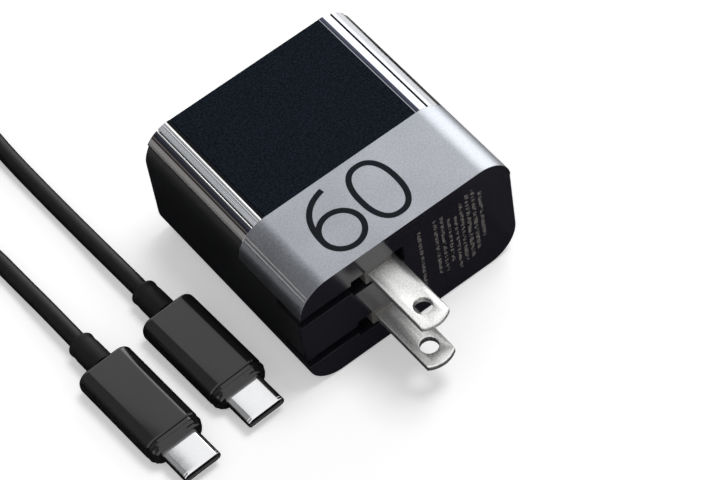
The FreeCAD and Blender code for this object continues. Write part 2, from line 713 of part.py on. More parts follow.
carrierShape = doc.addObject("PartDesign::Body", "carrier_body")
addPad(carrierShape, "XY", lowerLevel - bayHalf - d.shaft_end,
       upperLevel + bayHalf + d.shaft_end, circle(d.pivot_x, pivotY, d.shaft_radius))
hubOutline = outline([
    turned(-d.hub_left, -d.hub_nose),
    (*turned(0, -d.hub_nose), *turned(0, 0), 1),
    turned(d.hub_nose, 0),
    turned(d.hub_nose, d.hub_back),
    turned(-d.hub_left + d.hub_bevel, d.hub_back),
    turned(-d.hub_left, 0),
])
for name, level in levels:
    addPad(carrierShape, "XY", level - d.hub_half, level + d.hub_half, hubOutline)
lobeLevel = (upperLevel + lowerLevel) / 2
lobeFrom = Size(75.0, "75.0")
lobeTo = Size(195.0, "195.0")
addPad(carrierShape, "XY", lobeLevel - d.lobe_height / 2, lobeLevel + d.lobe_height / 2, outline([
    turned(0, 0),
    (*turned(d.lobe_radius * cosine(lobeFrom), d.lobe_radius * sine(lobeFrom)), *turned(0, 0), 1),
    turned(d.lobe_radius * cosine(lobeTo), d.lobe_radius * sine(lobeTo)),
]))
notchReach = d.lobe_radius + d.notch_offset
for notchX, notchY in ((0, notchReach), (-notchReach, 0)):
    addPocket(carrierShape, "XY", lobeLevel - d.lobe_height / 2, lobeLevel + d.lobe_height / 2,
              circle(*turned(notchX, notchY), d.notch_radius))
bladeMoulds = []
for name, level in levels:
    mould = doc.addObject("PartDesign::Body", f"{name}_blade_space")
    addPad(mould, "XY", level - d.blade_thickness / 2, level + d.blade_thickness / 2,
           bladeOutline)
    bladeMoulds.append(mould)
named(cut(carrierShape, *bladeMoulds), "blade_carrier")

fingerHalf = d.shaft_radius - d.running_gap
springFront = d.lobe_radius + d.spring_gap
springBack = springFront + d.strip
retainer = newBody("carrier_retainer")
addPad(retainer, "XZ", bayBack, retainerBack,
       rounded(-d.pocket_left - d.bay_wall, d.bay_right - d.retainer_inset,
               lowerLevel - bayHalf, upperLevel + bayHalf, d.retainer_corner))
for name, level in levels:
    for wallLow in (level - bayHalf + d.running_gap, level + d.pocket_half + d.running_gap):
        addPad(retainer, "XY", wallLow, wallLow + d.bay_wall - d.running_gap * 2,
               rectangle(d.pivot_x - fingerHalf, d.pivot_x + fingerHalf, pivotY, bayBack + lap))
for postLeft in (d.pivot_x - d.spring_half, d.pivot_x + d.spring_half - d.spring_post):
    addPad(retainer, "XY", lobeLevel - d.lobe_height / 2, lobeLevel + d.lobe_height / 2,
           rectangle(postLeft, postLeft + d.spring_post, pivotY + springBack, bayBack + lap))
addPocket(retainer, "XY", lowerLevel - bayHalf, upperLevel + bayHalf,
          circle(d.pivot_x, pivotY, saddle))
windowHalf = d.contact_bow + d.contact_clear
contactHalf = d.contact_width / 2
windowX = contactHalf + d.contact_clear
for name, level in levels:
    addPocket(retainer, "XZ", bayBack, retainerBack,
              rectangle(d.pivot_x - windowX, d.pivot_x + windowX, level - windowHalf,
                        level + windowHalf))
    addPocket(retainer, "XZ", bayBack, retainerBack,
              circle(d.screw_x, level, d.screw_radius + d.screw_clear))

screws = []
for name, level in levels:
    shank = rod(d.screw_radius, d.screw_length, d.screw_x, retainerBack - d.screw_length, level,
                *ALONG_Y)
    head = rod(d.screw_head_radius, d.screw_head, d.screw_x, retainerBack, level, *ALONG_Y)
    headTop = retainerBack + d.screw_head
    cross = [block(d.screw_x - reachX, d.screw_x + reachX, headTop - d.screw_recess,
                   headTop + d.screw_recess, level - reachZ, level + reachZ)
             for reachX, reachZ in ((d.screw_cross, d.screw_slot), (d.screw_slot, d.screw_cross))]
    screws.append(cut(fuse(shank, head), *cross))
screwGroup = doc.addObject("Part::Compound", "retainer_screws")
screwGroup.Links = screws
named(screwGroup, "retainer_screws")

# Detent spring: a flat leaf with one bump, on the retainer's two posts
spring = newBody("detent_spring")
springLift = d.lobe_height / 2 - d.fit_gap
addPad(spring, "XY", lobeLevel - springLift, lobeLevel + springLift, outline([
    turned(-d.spring_half, springFront),
    (*turned(-d.spring_bump, springFront), *turned(0, springFront), 1),
    turned(d.spring_bump, springFront),
    turned(d.spring_half, springFront),
    turned(d.spring_half, springBack),
    turned(-d.spring_half, springBack),
]))

# Contacts: a bowed strip behind each blade's tail, with a tag towards the main board
bowY = pivotY + d.tail_radius + d.running_gap + d.contact_bow
bowInner = d.contact_bow - d.strip
tagFront = boardFront + d.seat_gap
upperTag = upperLevel - d.contact_drop
for name, level, tagEnd in (("upper", upperLevel, upperTag),
                            ("lower", lowerLevel, boardTop)):
    contact = newBody(f"{name}_contact")
    addPad(contact, "YZ", d.pivot_x - contactHalf, d.pivot_x + contactHalf, outline([
        (bowY, level + d.contact_bow, bowY, level, 1),
        (bowY, level - d.contact_bow),
        (bowY + d.contact_lip, level - d.contact_bow),
        (bowY + d.contact_lip, level - bowInner),
        (bowY, level - bowInner, bowY, level, -1),
        (bowY, level + bowInner),
        (tagFront, level + bowInner),
        (tagFront, tagEnd),
        (tagFront + d.strip, tagEnd),
        (tagFront + d.strip, level + d.contact_bow),
    ]))

# Main board and what lies under it
mainBoard = newBody("main_board")
addPad(mainBoard, "XY", d.board_level, boardTop,
       rounded(-boardX, boardX, boardFront, boardBack, d.board_corner))

sheetTop = d.wall + d.sheet_gap
sheetX = postX - d.board_post - d.seat_gap
named(block(-sheetX, sheetX, boardFront, boardBack, d.wall, sheetTop), "insulation_sheet")
spreaderTop = sheetTop + d.spreader_sheet
chipUnder = d.board_level - d.chip_sheet
boardMiddle = (boardFront + boardBack) / 2


def under(width, depth, low, high, label):
    """A flat block under the middle of the main board."""
    return named(block(-width / 2, width / 2, boardMiddle - depth / 2, boardMiddle + depth / 2,
                       low, high), label)


under(d.spreader_width, d.spreader_depth, sheetTop, spreaderTop, "heat_spreader")
under(d.pad_side, d.pad_side, spreaderTop, chipUnder, "thermal_pad")
under(d.chip_side, d.chip_side, chipUnder, d.board_level, "primary_switch")


# What stands on the main board: a row behind the retainer, then capacitors beside the
# transformer, then the output board, which is placed from the back wall

rowFront = retainerBack + d.front_clear
tallTop = innerTop - d.head_room
columnLeft = -boardX + d.edge_gap
coreLeft = columnLeft + d.bulk_radius * 2 + d.part_gap
sideX = boardX - d.edge_gap - d.side_radius
coreRight = sideX - d.side_radius - d.part_gap
filterBack = rowFront + d.filter_depth
bridgeFront = filterBack + d.seat_gap
bridgeBack = bridgeFront + d.bridge_depth
mouth = back - d.outlet_setback
outputBack = mouth - d.outlet_length
outputFront = outputBack - d.output_board
syncFront = outputFront - d.sync_sheet
outputRight = coreRight + d.output_overhang


def upright(edge):
    box = edge.BoundBox
    return box.XLength < 0.001 and box.YLength < 0.001


def onBoard(x, y, width, depth, height, label, radius):
    """A moulded box on the main board, from its left front corner, upright edges rounded."""
    item = block(x, x + width, y, y + depth, boardTop, boardTop + height)
    return named(softened(item, radius, upright, "Fillet"), label)


onBoard(columnLeft, rowFront, d.fuse_length, d.fuse_depth, d.fuse_height, "fuse",
        d.fuse_round)
onBoard(coreLeft, rowFront, d.filter_length, d.filter_depth, d.filter_height,
        "filter_capacitor", d.filter_round)
onBoard(coreLeft, bridgeFront, d.filter_length, d.bridge_depth, d.bridge_height,
        "bridge_rectifier", d.bridge_round)
onBoard(outputRight + d.part_gap, boardBack - d.edge_gap - d.coupler_depth, d.coupler_width,
        d.coupler_depth, d.coupler_height, "feedback_coupler", d.coupler_round)

chokeX = boardX - d.edge_gap - d.choke_radius
chokeZ = boardTop + d.choke_radius + d.choke_rise
chokeBack = rowFront + d.choke_depth
chokeRing = cut(rod(d.choke_radius, d.choke_depth, chokeX, rowFront, chokeZ, *ALONG_Y),
                rod(d.choke_bore, d.choke_depth + runOut * 2, chokeX, rowFront - runOut, chokeZ,
                    *ALONG_Y))
named(softened(chokeRing, d.choke_round, lambda edge: edge.BoundBox.YLength < 0.001 and edge.Closed,
               "Fillet"), "filter_choke")
chokeHalf = d.choke_radius - d.part_gap
named(cut(block(chokeX - chokeHalf, chokeX + chokeHalf, rowFront, chokeBack, boardTop,
                boardTop + d.choke_seat),
          rod(d.choke_radius + d.running_gap, d.choke_depth + runOut * 2, chokeX,
              rowFront - runOut, chokeZ, *ALONG_Y)), "choke_base")


def canister(x, y, radius, label):
    """A tubular capacitor standing on the main board, with its crimped groove."""
    inside = radius - d.groove_depth
    grooveLow = boardTop + d.groove_level
    ring = cut(rod(radius + runOut, d.groove_width, x, y, grooveLow),
               rod(inside, d.groove_width + runOut * 2, x, y, grooveLow - runOut))
    can = softened(rod(radius, tallTop - boardTop, x, y, boardTop), d.can_round,
                   lambda edge: edge.Closed, "Fillet")
    return named(cut(can, ring), label)


columnX = columnLeft + d.bulk_radius
sideY = chokeBack + d.part_gap + d.side_radius
canister(columnX, rowFront + d.fuse_depth + d.part_gap + d.bulk_radius, d.bulk_radius,
         "bulk_capacitor_front")
canister(columnX, boardBack - d.edge_gap - d.bulk_radius, d.bulk_radius, "bulk_capacitor_back")
canister(sideX, sideY, d.side_radius, "bulk_capacitor_side")

# Transformer: a ferrite frame about a bobbin with its taped winding
coreLow = boardTop + d.core_base
coreFront = bridgeBack + d.part_gap
coreBack = syncFront - d.part_gap
coreX = (coreLeft + coreRight) / 2
coreY = (coreFront + coreBack) / 2
yokeLow = coreLow + d.core_yoke
yokeHigh = tallTop - d.core_yoke
coreFrame = cut(block(coreLeft, coreRight, coreFront, coreBack, coreLow, tallTop),
                block(coreLeft + d.core_side, coreRight - d.core_side, coreFront - runOut,
                      coreBack + runOut, yokeLow, yokeHigh))
middleLeg = rod(d.core_leg, yokeHigh - yokeLow + lap * 2, coreX, coreY, yokeLow - lap)
named(fuse(coreFrame, middleLeg), "transformer_core")
spoolLow = yokeLow + d.running_gap
spoolHigh = yokeHigh - d.running_gap
spoolBore = d.core_leg + d.running_gap
spoolTube = spoolBore + d.bobbin_sheet
spoolLength = spoolHigh - spoolLow
flange = (coreBack - coreFront) / 2 - d.flange_inset
spool = fuse(rod(spoolTube, spoolLength, coreX, coreY, spoolLow),
             rod(flange, d.bobbin_sheet, coreX, coreY, spoolLow),
             rod(flange, d.bobbin_sheet, coreX, coreY, spoolHigh - d.bobbin_sheet))
throughSpool = (spoolLength + runOut * 2, coreX, coreY, spoolLow - runOut)
named(cut(spool, rod(spoolBore, *throughSpool)),
      "transformer_bobbin")
named(cut(rod(flange - d.winding_inset, spoolLength - d.bobbin_sheet * 2, coreX, coreY,
              spoolLow + d.bobbin_sheet),
          rod(spoolTube, *throughSpool)), "transformer_winding")
named(block(coreLeft, coreRight, coreFront, coreBack, boardTop, coreLow), "transformer_base")

# Output board with the outlet, standing on the main board
outputLeft = coreLeft + d.seat_gap
named(block(outputLeft, outputRight, outputFront, outputBack, boardTop, tallTop),
      "output_board")
named(softened(block(coreX, coreX + d.sync_width, syncFront, outputFront,
                     tallTop - d.part_gap - d.sync_height, tallTop - d.part_gap),
               d.sync_break, lambda edge: lies(edge, "y", syncFront)), "sync_rectifier")
shellHalfX = d.outlet_width / 2
shellHalfZ = d.outlet_height / 2
outputCanRadius = (outletLevel - shellHalfZ - boardTop) / 2 - d.seat_gap
outputCanEnd = back - d.back_wall - d.part_gap
for side, hand in (("left", -1), ("right", 1)):
    can = rod(outputCanRadius, outputCanEnd - outputBack,
              hand * (outputCanRadius + d.part_gap * 4), outputBack,
              boardTop + d.seat_gap + outputCanRadius, *ALONG_Y)
    named(softened(can, d.small_can_round, lambda edge: edge.Closed, "Fillet"), f"output_capacitor_{side}")

outletShell = newBody("outlet_shell")
addPad(outletShell, "XZ", outputBack, mouth,
       rounded(-shellHalfX, shellHalfX, outletLevel - shellHalfZ, outletLevel + shellHalfZ,
               shellHalfZ - leastFlat))
linerX = shellHalfX - d.outlet_sheet
linerZ = shellHalfZ - d.outlet_sheet
addPocket(outletShell, "XZ", outputBack + d.outlet_floor, mouth,
          rounded(-linerX, linerX, outletLevel - linerZ, outletLevel + linerZ,
                  linerZ - leastFlat))
tongueEnd = mouth - d.tongue_setback
named(softened(block(-d.tongue_width / 2, d.tongue_width / 2, outputBack + d.outlet_floor,
                     tongueEnd, outletLevel - d.tongue_sheet / 2,
                     outletLevel + d.tongue_sheet / 2), d.tongue_break,
               lambda edge: lies(edge, "y", tongueEnd)), "outlet_tongue")


# The lead: two plugs, two free stretches and the coiled length between them

def plugParts(which, x, y):
    """One plug, drawn with its cord end at its own origin and its mouth towards -Y."""
    level = d.boot_height / 2
    boot0 = -d.relief_length - d.boot_length
    nose0 = boot0 - d.nose_length
    tip0 = nose0 - d.plug_reach
    group = {}

    group["relief"] = relief = newBody(f"{which}_plug_strain_relief")
    addPad(relief, "XZ", -d.relief_length, 0, circle(0, 0, d.relief_radius))
    breakEdges(relief, d.relief_break, lambda edge: lies(edge, "y", 0))

    group["boot"] = boot = newBody(f"{which}_plug_boot")
    halfX, halfZ = d.boot_width / 2, d.boot_height / 2
    addPad(boot, "XZ", boot0, -d.relief_length, rounded(-halfX, halfX, -halfZ, halfZ,
                                                        d.boot_radius))
    breakEdges(boot, d.boot_round, lambda edge: lies(edge, "y", -d.relief_length), "Fillet")
    breakEdges(boot, d.boot_break, lambda edge: lies(edge, "y", boot0))

    group["nose"] = nose = newBody(f"{which}_plug_nose_ring")
    noseX, noseZ = halfX - d.nose_inset, halfZ - d.nose_inset
    addPad(nose, "XZ", nose0, boot0,
           rounded(-noseX, noseX, -noseZ, noseZ, d.boot_radius - d.nose_inset))
    shellX, shellZ = d.plug_width / 2, d.plug_height / 2
    shellOutline = rounded(-shellX, shellX, -shellZ, shellZ, shellZ - leastFlat)
    addPocket(nose, "XZ", nose0, boot0, shellOutline)
    breakEdges(nose, d.nose_break, lambda edge: lies(edge, "y", nose0)
               and max(abs(edge.BoundBox.ZMin), abs(edge.BoundBox.ZMax)) > shellZ.value + slack)

    group["shell"] = shell = newBody(f"{which}_plug_shell")
    fillX, fillZ = shellX - d.plug_sheet, shellZ - d.plug_sheet
    fillOutline = rounded(-fillX, fillX, -fillZ, fillZ, fillZ - leastFlat)
    addPad(shell, "XZ", tip0, boot0, shellOutline)
    addPocket(shell, "XZ", tip0, boot0, fillOutline)
    breakEdges(shell, d.plug_lip, lambda edge: lies(edge, "y", tip0)
               and edge.BoundBox.ZLength + edge.BoundBox.XLength > 0
               and (abs(edge.CenterOfMass.z) > shellZ.value - 0.05
                    or abs(edge.CenterOfMass.x) > shellX.value - 0.5))

    group["insert"] = insert = newBody(f"{which}_plug_contacts")
    slotX, slotZ = fillX - d.plug_slot_side, fillZ - d.plug_slot_roof
    insertFront = tip0 + d.plug_setback
    addPad(insert, "XZ", insertFront, boot0, fillOutline)
    addPocket(insert, "XZ", insertFront, insertFront + d.plug_slot_depth,
              rectangle(-slotX, slotX, -slotZ, slotZ))

    for item in group.values():
        place(item, x, y, level, Vector(0, 0, 1), d.plug_angle.value)
        bind(item, "Placement.Rotation.Angle", d.plug_angle)


plugParts("near", d.near_plug_x, d.near_plug_y)
plugParts("far", d.far_plug_x, d.far_plug_y)

cordRadius = d.cord_diameter.value / 2
floorLevel = cordRadius
exitLevel = d.boot_height.value / 2
firstLayer = cordRadius + d.tie_sheet.value + d.tie_gap.value
secondLayer = firstLayer + d.coil_rise.value
coilCentre = Vector(d.coil_x.value, d.coil_y.value, 0)
inwardTurns = 3
outwardTurns = 3 + 60 / 360
innerTurn = d.coil_radius.value - inwardTurns * d.coil_pitch.value
inwardEnd = 360 * inwardTurns        # angle where the lead starts to climb a layer
climbDip = 0.7                       # how far the climb draws inside the inner turn
climbSlope = 1.5                     # the climb's middle, against its mean slope
exitRun = 9                          # straight out of a plug, before the first bend
coilRun = 10                         # straight into and out of the coil


def atAngle(radius, degrees, level):
    """A place on the coil and the direction of the cord there, counter-clockwise."""
    turn = math.radians(degrees)
    outward = Vector(math.cos(turn), math.sin(turn), 0)
    return coilCentre + outward * radius + Vector(0, 0, level), Vector(-outward.y, outward.x, 0)


def coilStations():
    """Half-turn stations: three turns inward on the first layer, a climb in one half turn
    that draws a little further in, then outward on the second layer."""
    stations = []
    climbEnd = inwardEnd + 180
    for half in range(2 * inwardTurns + 1):
        stations.append(atAngle(d.coil_radius.value - half * d.coil_pitch.value / 2, 180 * half,
                                firstLayer))
    middle, direction = atAngle(innerTurn - climbDip, inwardEnd + 90,
                                (firstLayer + secondLayer) / 2)
    climb = Vector(0, 0, d.coil_rise.value * climbSlope / (math.pi * innerTurn))
    stations.append((middle, (direction + climb).normalize()))
    for half in range(2 * math.floor(outwardTurns) + 1):
        stations.append(atAngle(innerTurn + half * d.coil_pitch.value / 2,
                                climbEnd + 180 * half, secondLayer))
    stations.append(atAngle(innerTurn + outwardTurns * d.coil_pitch.value,
                            climbEnd + 360 * outwardTurns, secondLayer))
    return stations


def biarc(start, startWay, stop, stopWay):
    """Two arcs that leave one place along one direction and reach another along another."""
    span = stop - start
    both = startWay + stopWay
    lean = 2 * (1 - startWay.dot(stopWay))
    along = span.dot(both)
    reach = (math.sqrt(along * along + lean * span.dot(span)) - along) / lean
    joint = (start + startWay * reach + stop - stopWay * reach) * 0.5
    return [arcFrom(start, startWay, joint), arcInto(joint, stop, stopWay)]


def arcFrom(start, way, stop):
    """An arc from start along a direction to stop, through its own middle."""
    chord = stop - start
    normal = way.cross(chord).cross(way).normalize()
    radius = chord.dot(chord) / (2 * chord.dot(normal))
    centre = start + normal * radius
    middle = centre + ((start + stop) * 0.5 - centre).normalize() * radius
    return Part.Arc(start, middle, stop).toShape()


def arcInto(start, stop, way):
    mirrored = arcFrom(stop, way * -1, start)
    return Part.Arc(start, mirrored.valueAt(sum(mirrored.ParameterRange) / 2), stop).toShape()


def sweptCord(path, start, way, radius):
    ring = Part.Wire([Part.Circle(start, way, radius).toShape()])
    return path.makePipeShell([ring], True, False)


def leastGap(path, diameter):
    """The least space between turns, from points a millimetre apart along the path."""
    points = path.discretize(Distance=1.0)
    near = int(3 * diameter)
    least = min(a.distanceToPoint(b) for i, a in enumerate(points) for b in points[i + near:])
    return least - diameter


stations = coilStations()
startPlace, startWay = stations[0]
endPlace, endWay = stations[-1]
coilStart = startPlace - startWay * d.cord_diameter.value
coilEnd = endPlace + endWay * d.cord_diameter.value
coilEdges = [Part.LineSegment(coilStart, startPlace).toShape()]
for (a, wayA), (b, wayB) in zip(stations, stations[1:]):
    coilEdges += biarc(a, wayA, b, wayB)
coilEdges.append(Part.LineSegment(endPlace, coilEnd).toShape())
coilPath = Part.Wire(coilEdges)
coil = doc.addObject("Part::Feature", "cord_coil")
coil.Shape = sweptCord(coilPath, coilStart, startWay, cordRadius)
named(coil, "cord_coil")
print(f"coil length {coilPath.Length:.1f}, least gap {leastGap(coilPath, 2 * cordRadius):.2f}")


def tubeAlong(points, radius, label):
    """A tube of straight runs joined by tangent arcs, each as large as its runs allow."""
    edges = []
    start = points[0]
    radii = []
    for before, corner, after in zip(points, points[1:], points[2:]):
        inward, outward = (before - corner), (after - corner)
        reach = 0.45 * min(inward.Length, outward.Length)
        halfTurn = (math.pi - inward.getAngle(outward)) / 2
        bend = reach / math.tan(halfTurn)
        enter = corner + inward.normalize() * reach
        leave = corner + outward.normalize() * reach
        toCentre = (inward + outward).normalize()
        middle = corner + toCentre * (math.hypot(bend, reach) - bend)
        edges.append(Part.LineSegment(start, enter).toShape())
        edges.append(Part.Arc(enter, middle, leave).toShape())
        start = leave
        radii.append(bend)
    edges.append(Part.LineSegment(start, points[-1]).toShape())
    path = Part.Wire(edges)
    tube = doc.addObject("Part::Feature", label)
    tube.Shape = sweptCord(path, points[0], (points[1] - points[0]).normalize(), radius)
    section = math.pi * radius * radius * path.Length
    print(f"{label}: length {path.Length:.1f}, radii {[round(r) for r in radii]}, "
          f"volume {tube.Shape.Volume:.1f} of {section:.1f}")
    return named(tube, label)


def plugExit(x, y):
    """Where the cord leaves a plug, and a point straight out of it."""
    turn = math.radians(d.plug_angle.value)
    place0 = Vector(x.value, y.value, exitLevel)
    return [place0, place0 + Vector(-math.sin(turn), math.cos(turn), 0) * exitRun]


nearRoute = plugExit(d.near_plug_x, d.near_plug_y) + [
    Vector(-36.05, 32.5, floorLevel),
    Vector(-36.40, 45.5, floorLevel),
    Vector(-36.55, 58.5, floorLevel),
    coilStart - startWay * coilRun,
    coilStart,
]
tubeAlong(nearRoute, cordRadius, "cord_near_stretch")
farRoute = plugExit(d.far_plug_x, d.far_plug_y) + [
    Vector(-51.90, 29.8, floorLevel),
    Vector(-53.30, 39.4, floorLevel + 0.2),
    Vector(-56.90, 48.4, floorLevel + 2.4),
    coilEnd + endWay * coilRun,
    coilEnd,
]
tubeAlong(farRoute, cordRadius, "cord_far_stretch")

# Strap round the coil, lying under and over its two layers
# The outer turn has drawn in by a part of the pitch where the strap passes it
tieDraw = 0.4
tieInner = innerTurn - cordRadius - d.tie_inside.value
tieOuter = d.coil_radius.value + cordRadius - tieDraw
tieTop = secondLayer + cordRadius + d.tie_gap.value
tie = newBody("coil_tie")
sheetHalf = d.tie_width / 2
addPad(tie, "XZ", -sheetHalf, sheetHalf,
       rounded(tieInner - d.tie_sheet, tieOuter + d.tie_sheet, 0, tieTop + d.tie_sheet,
               d.tie_corner + d.tie_sheet))
addPocket(tie, "XZ", -sheetHalf, sheetHalf,
          rounded(tieInner, tieOuter, d.tie_sheet, tieTop, d.tie_corner))
place(tie, d.coil_x, d.coil_y, 0, Vector(0, 0, 1), d.tie_angle.value)
bind(tie, "Placement.Rotation.Angle", d.tie_angle)

# Lead from the upper contact's tag down to the main board
tagY = tagFront.value + d.strip.value / 2
tagLow = upperTag.value
leadRoute = [
    Vector(d.pivot_x.value, tagY, tagLow),
    Vector(d.pivot_x.value, tagY, tagLow - 2.2),
    Vector(d.pivot_x.value - 1.8, tagY + 0.5, tagLow - 5.2),
    Vector(d.pivot_x.value - 3.4, tagY + 0.9, boardTop.value + 2.6),
    Vector(d.pivot_x.value - 3.4, tagY + 0.9, boardTop.value),
]
tubeAlong(leadRoute, d.contact_lead_radius.value, "contact_lead")

doc.recompute()

# Every piece is checked before any file is written
faults = [item.Label for item in doc.Objects
          if "Invalid" in item.State or "Error" in item.State]
for item in pieces:
    if item.Shape.isNull() or not item.Shape.isValid() or not item.Shape.Solids:
        faults.append(item.Label)
if faults:
    raise RuntimeError(f"these objects failed: {sorted(set(faults))}")
for item in pieces:
    item.Shape.exportStep(f"parts/{item.Label}.step")
print(len(pieces), "pieces written")
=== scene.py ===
import json
import bmesh
import bpy
import numpy as np
from mathutils import Matrix, Vector


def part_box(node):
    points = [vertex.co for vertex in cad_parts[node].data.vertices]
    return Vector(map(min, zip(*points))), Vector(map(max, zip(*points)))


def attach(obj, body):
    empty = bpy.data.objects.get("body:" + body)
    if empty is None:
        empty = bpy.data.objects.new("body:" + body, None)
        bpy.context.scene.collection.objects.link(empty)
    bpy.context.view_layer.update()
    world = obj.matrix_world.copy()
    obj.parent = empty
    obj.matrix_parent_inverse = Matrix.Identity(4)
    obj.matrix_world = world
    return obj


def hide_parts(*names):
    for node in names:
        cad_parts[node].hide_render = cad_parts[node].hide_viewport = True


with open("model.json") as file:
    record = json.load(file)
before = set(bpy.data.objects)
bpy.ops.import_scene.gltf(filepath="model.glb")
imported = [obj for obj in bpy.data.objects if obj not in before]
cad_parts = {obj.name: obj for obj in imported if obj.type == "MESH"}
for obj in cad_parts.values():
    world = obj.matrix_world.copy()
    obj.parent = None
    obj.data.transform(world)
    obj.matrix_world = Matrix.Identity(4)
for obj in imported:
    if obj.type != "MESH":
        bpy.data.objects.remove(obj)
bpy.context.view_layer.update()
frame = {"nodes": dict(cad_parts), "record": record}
mm = 0.001
slotOf = {row["node"]: row["material_slot"] for row in frame["record"]["subparts"]}
print("frame loaded:", len(frame["nodes"]), "nodes")


# Reads a node's lowest and highest corner in millimetres
def boxOf(node):
    low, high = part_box(node)
    return np.array(low) / mm, np.array(high) / mm


# sRGB hex to linear light: a straight line near black, a 2.4 power above it
def linear(hexCode):
    value = np.array([int(hexCode[i:i + 2], 16) for i in (1, 3, 5)]) / 255
    light = np.where(value <= 0.04045, value / 12.92, ((value + 0.055) / 1.055) ** 2.4)
    return (*light.tolist(), 1.0)


# Adds a node: an input is a plain value or another node's output, the rest are its settings
def addNode(material, kind, inputs=None, **settings):
    node = material.node_tree.nodes.new("ShaderNode" + kind)
    for name, value in settings.items():
        setattr(node, name, value)
    for name, value in (inputs or {}).items():
        if isinstance(value, bpy.types.NodeSocket):
            material.node_tree.links.new(value, node.inputs[name])
        else:
            node.inputs[name].default_value = value
    return node


# A ramp of tones over a value from 0 to 1: its colour output
def toneRamp(material, value, tones):
    ramp = addNode(material, "ValToRGB", {"Fac": value})
    stops = ramp.color_ramp.elements
    for position, hexCode in tones[1:-1]:
        stops.new(position)
    for stop, (position, hexCode) in zip(stops, tones):
        stop.position = position
        stop.color = linear(hexCode)
    return ramp.outputs["Color"]


# A Principled surface whose steady values stand on its own sockets
def newSurface(name, values):
    material = bpy.data.materials.new(name)
    material.use_nodes = True
    shader = material.node_tree.nodes["Principled BSDF"]
    for socket, value in values.items():
        shader.inputs[socket].default_value = value
    return material, shader


# The body's own sizes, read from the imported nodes
capLow, capHigh = boxOf("front_cap")
panelLow, panelHigh = boxOf("top_panel")
body = {
    "front": capLow[1],
    "capBack": capHigh[1],
    "back": panelHigh[1],
    "top": capHigh[2],
    "cornerX": panelHigh[0],
    "cornerRadius": 6.8,
    "skin": panelHigh[2] - panelLow[2],
}
body["cornerZ"] = body["top"] - body["cornerRadius"]


# Camera and studio. The camera is in millimetres and degrees; the studio is in metres, its
# lamp's spread in degrees

camera = {
    "lens": 177.74,
    "azimuth": -29.5165,
    "elevation": 54.5106,
    "roll": -10.2117,
    "distance": 652.068,
    "target": (-0.3749, -8.2666, 8.1317),
    "nearest": 50,
}


# The camera stands back from its target by azimuth and elevation, and is rolled about its
# own line of sight
def placeCamera():
    azimuth, elevation, roll = (np.radians(camera[key]) for key in ("azimuth", "elevation", "roll"))
    back = np.array([np.sin(azimuth) * np.cos(elevation), -np.cos(azimuth) * np.cos(elevation),
                     np.sin(elevation)])
    level = np.array([np.cos(azimuth), np.sin(azimuth), 0])
    upright = np.cross(back, level)
    right = np.cos(roll) * level + np.sin(roll) * upright
    up = -np.sin(roll) * level + np.cos(roll) * upright
    data = bpy.data.cameras.new("camera")
    data.lens = camera["lens"]
    data.clip_start = camera["nearest"] * mm
    view = bpy.data.objects.new("camera", data)
    bpy.context.collection.objects.link(view)
    place = (np.array(camera["target"]) + back * camera["distance"]) * mm
    view.matrix_world = Matrix([[*row, spot] for row, spot in
                                zip(np.stack([right, up, back], 1).tolist(), place.tolist())]
                               + [[0, 0, 0, 1]])
    bpy.context.scene.camera = view


studio = {
    "aim": (0, 0, 0.014),                 # the point that the lamps and the card face
    "ambient": 0.33,                      # what the white room gives to every surface
    "lean": (-0.4, -0.4, 0.0),            # how much more of it comes from the left and front
    "key": {"strength": 1.05, "spread": 24, "from": (0.32, -0.02, 0.95)},
    "softbox": {"power": 1.75, "size": (0.45, 0.7), "place": (0.56, 0.41, 0.28)},
    # Grey card over the left side: brightness from its lower to its upper edge
    "leftCard": {"place": (-0.408, 0.388, 0.422), "size": (0.88, 1.14),
                 "tones": [(0.05, "#151517"), (0.13, "#38393b"), (0.20, "#6f7072"), (0.26, "#8b8b8b"),
                           (0.61, "#8e8e8f"), (0.80, "#88898b"), (1.0, "#8a8b8e")]},
    # Felt sheets on the floor, seen only in reflections: lowest and highest x, then y
    "floorFelt": {"level": 0.0002,
                  "sheets": [((-0.340, 0.024, -0.060, 0.110), "#141416"),
                             ((0.024, 0.100, -0.060, -0.024), "#37373a"),
                             ((0.024, 0.100, -0.024, 0.020), "#a2a2a5"),
                             ((0.024, 0.079, 0.020, 0.051), "#242427")]},
    "floorSize": 3.0,
    "floorGlow": 0.35,                    # a back-lit table top keeps the shadows light
}


# The turn that makes a lamp or a card at this place face the object
def aimed(place):
    return (Vector(place) - Vector(studio["aim"])).to_track_quat("Z", "Y").to_euler()


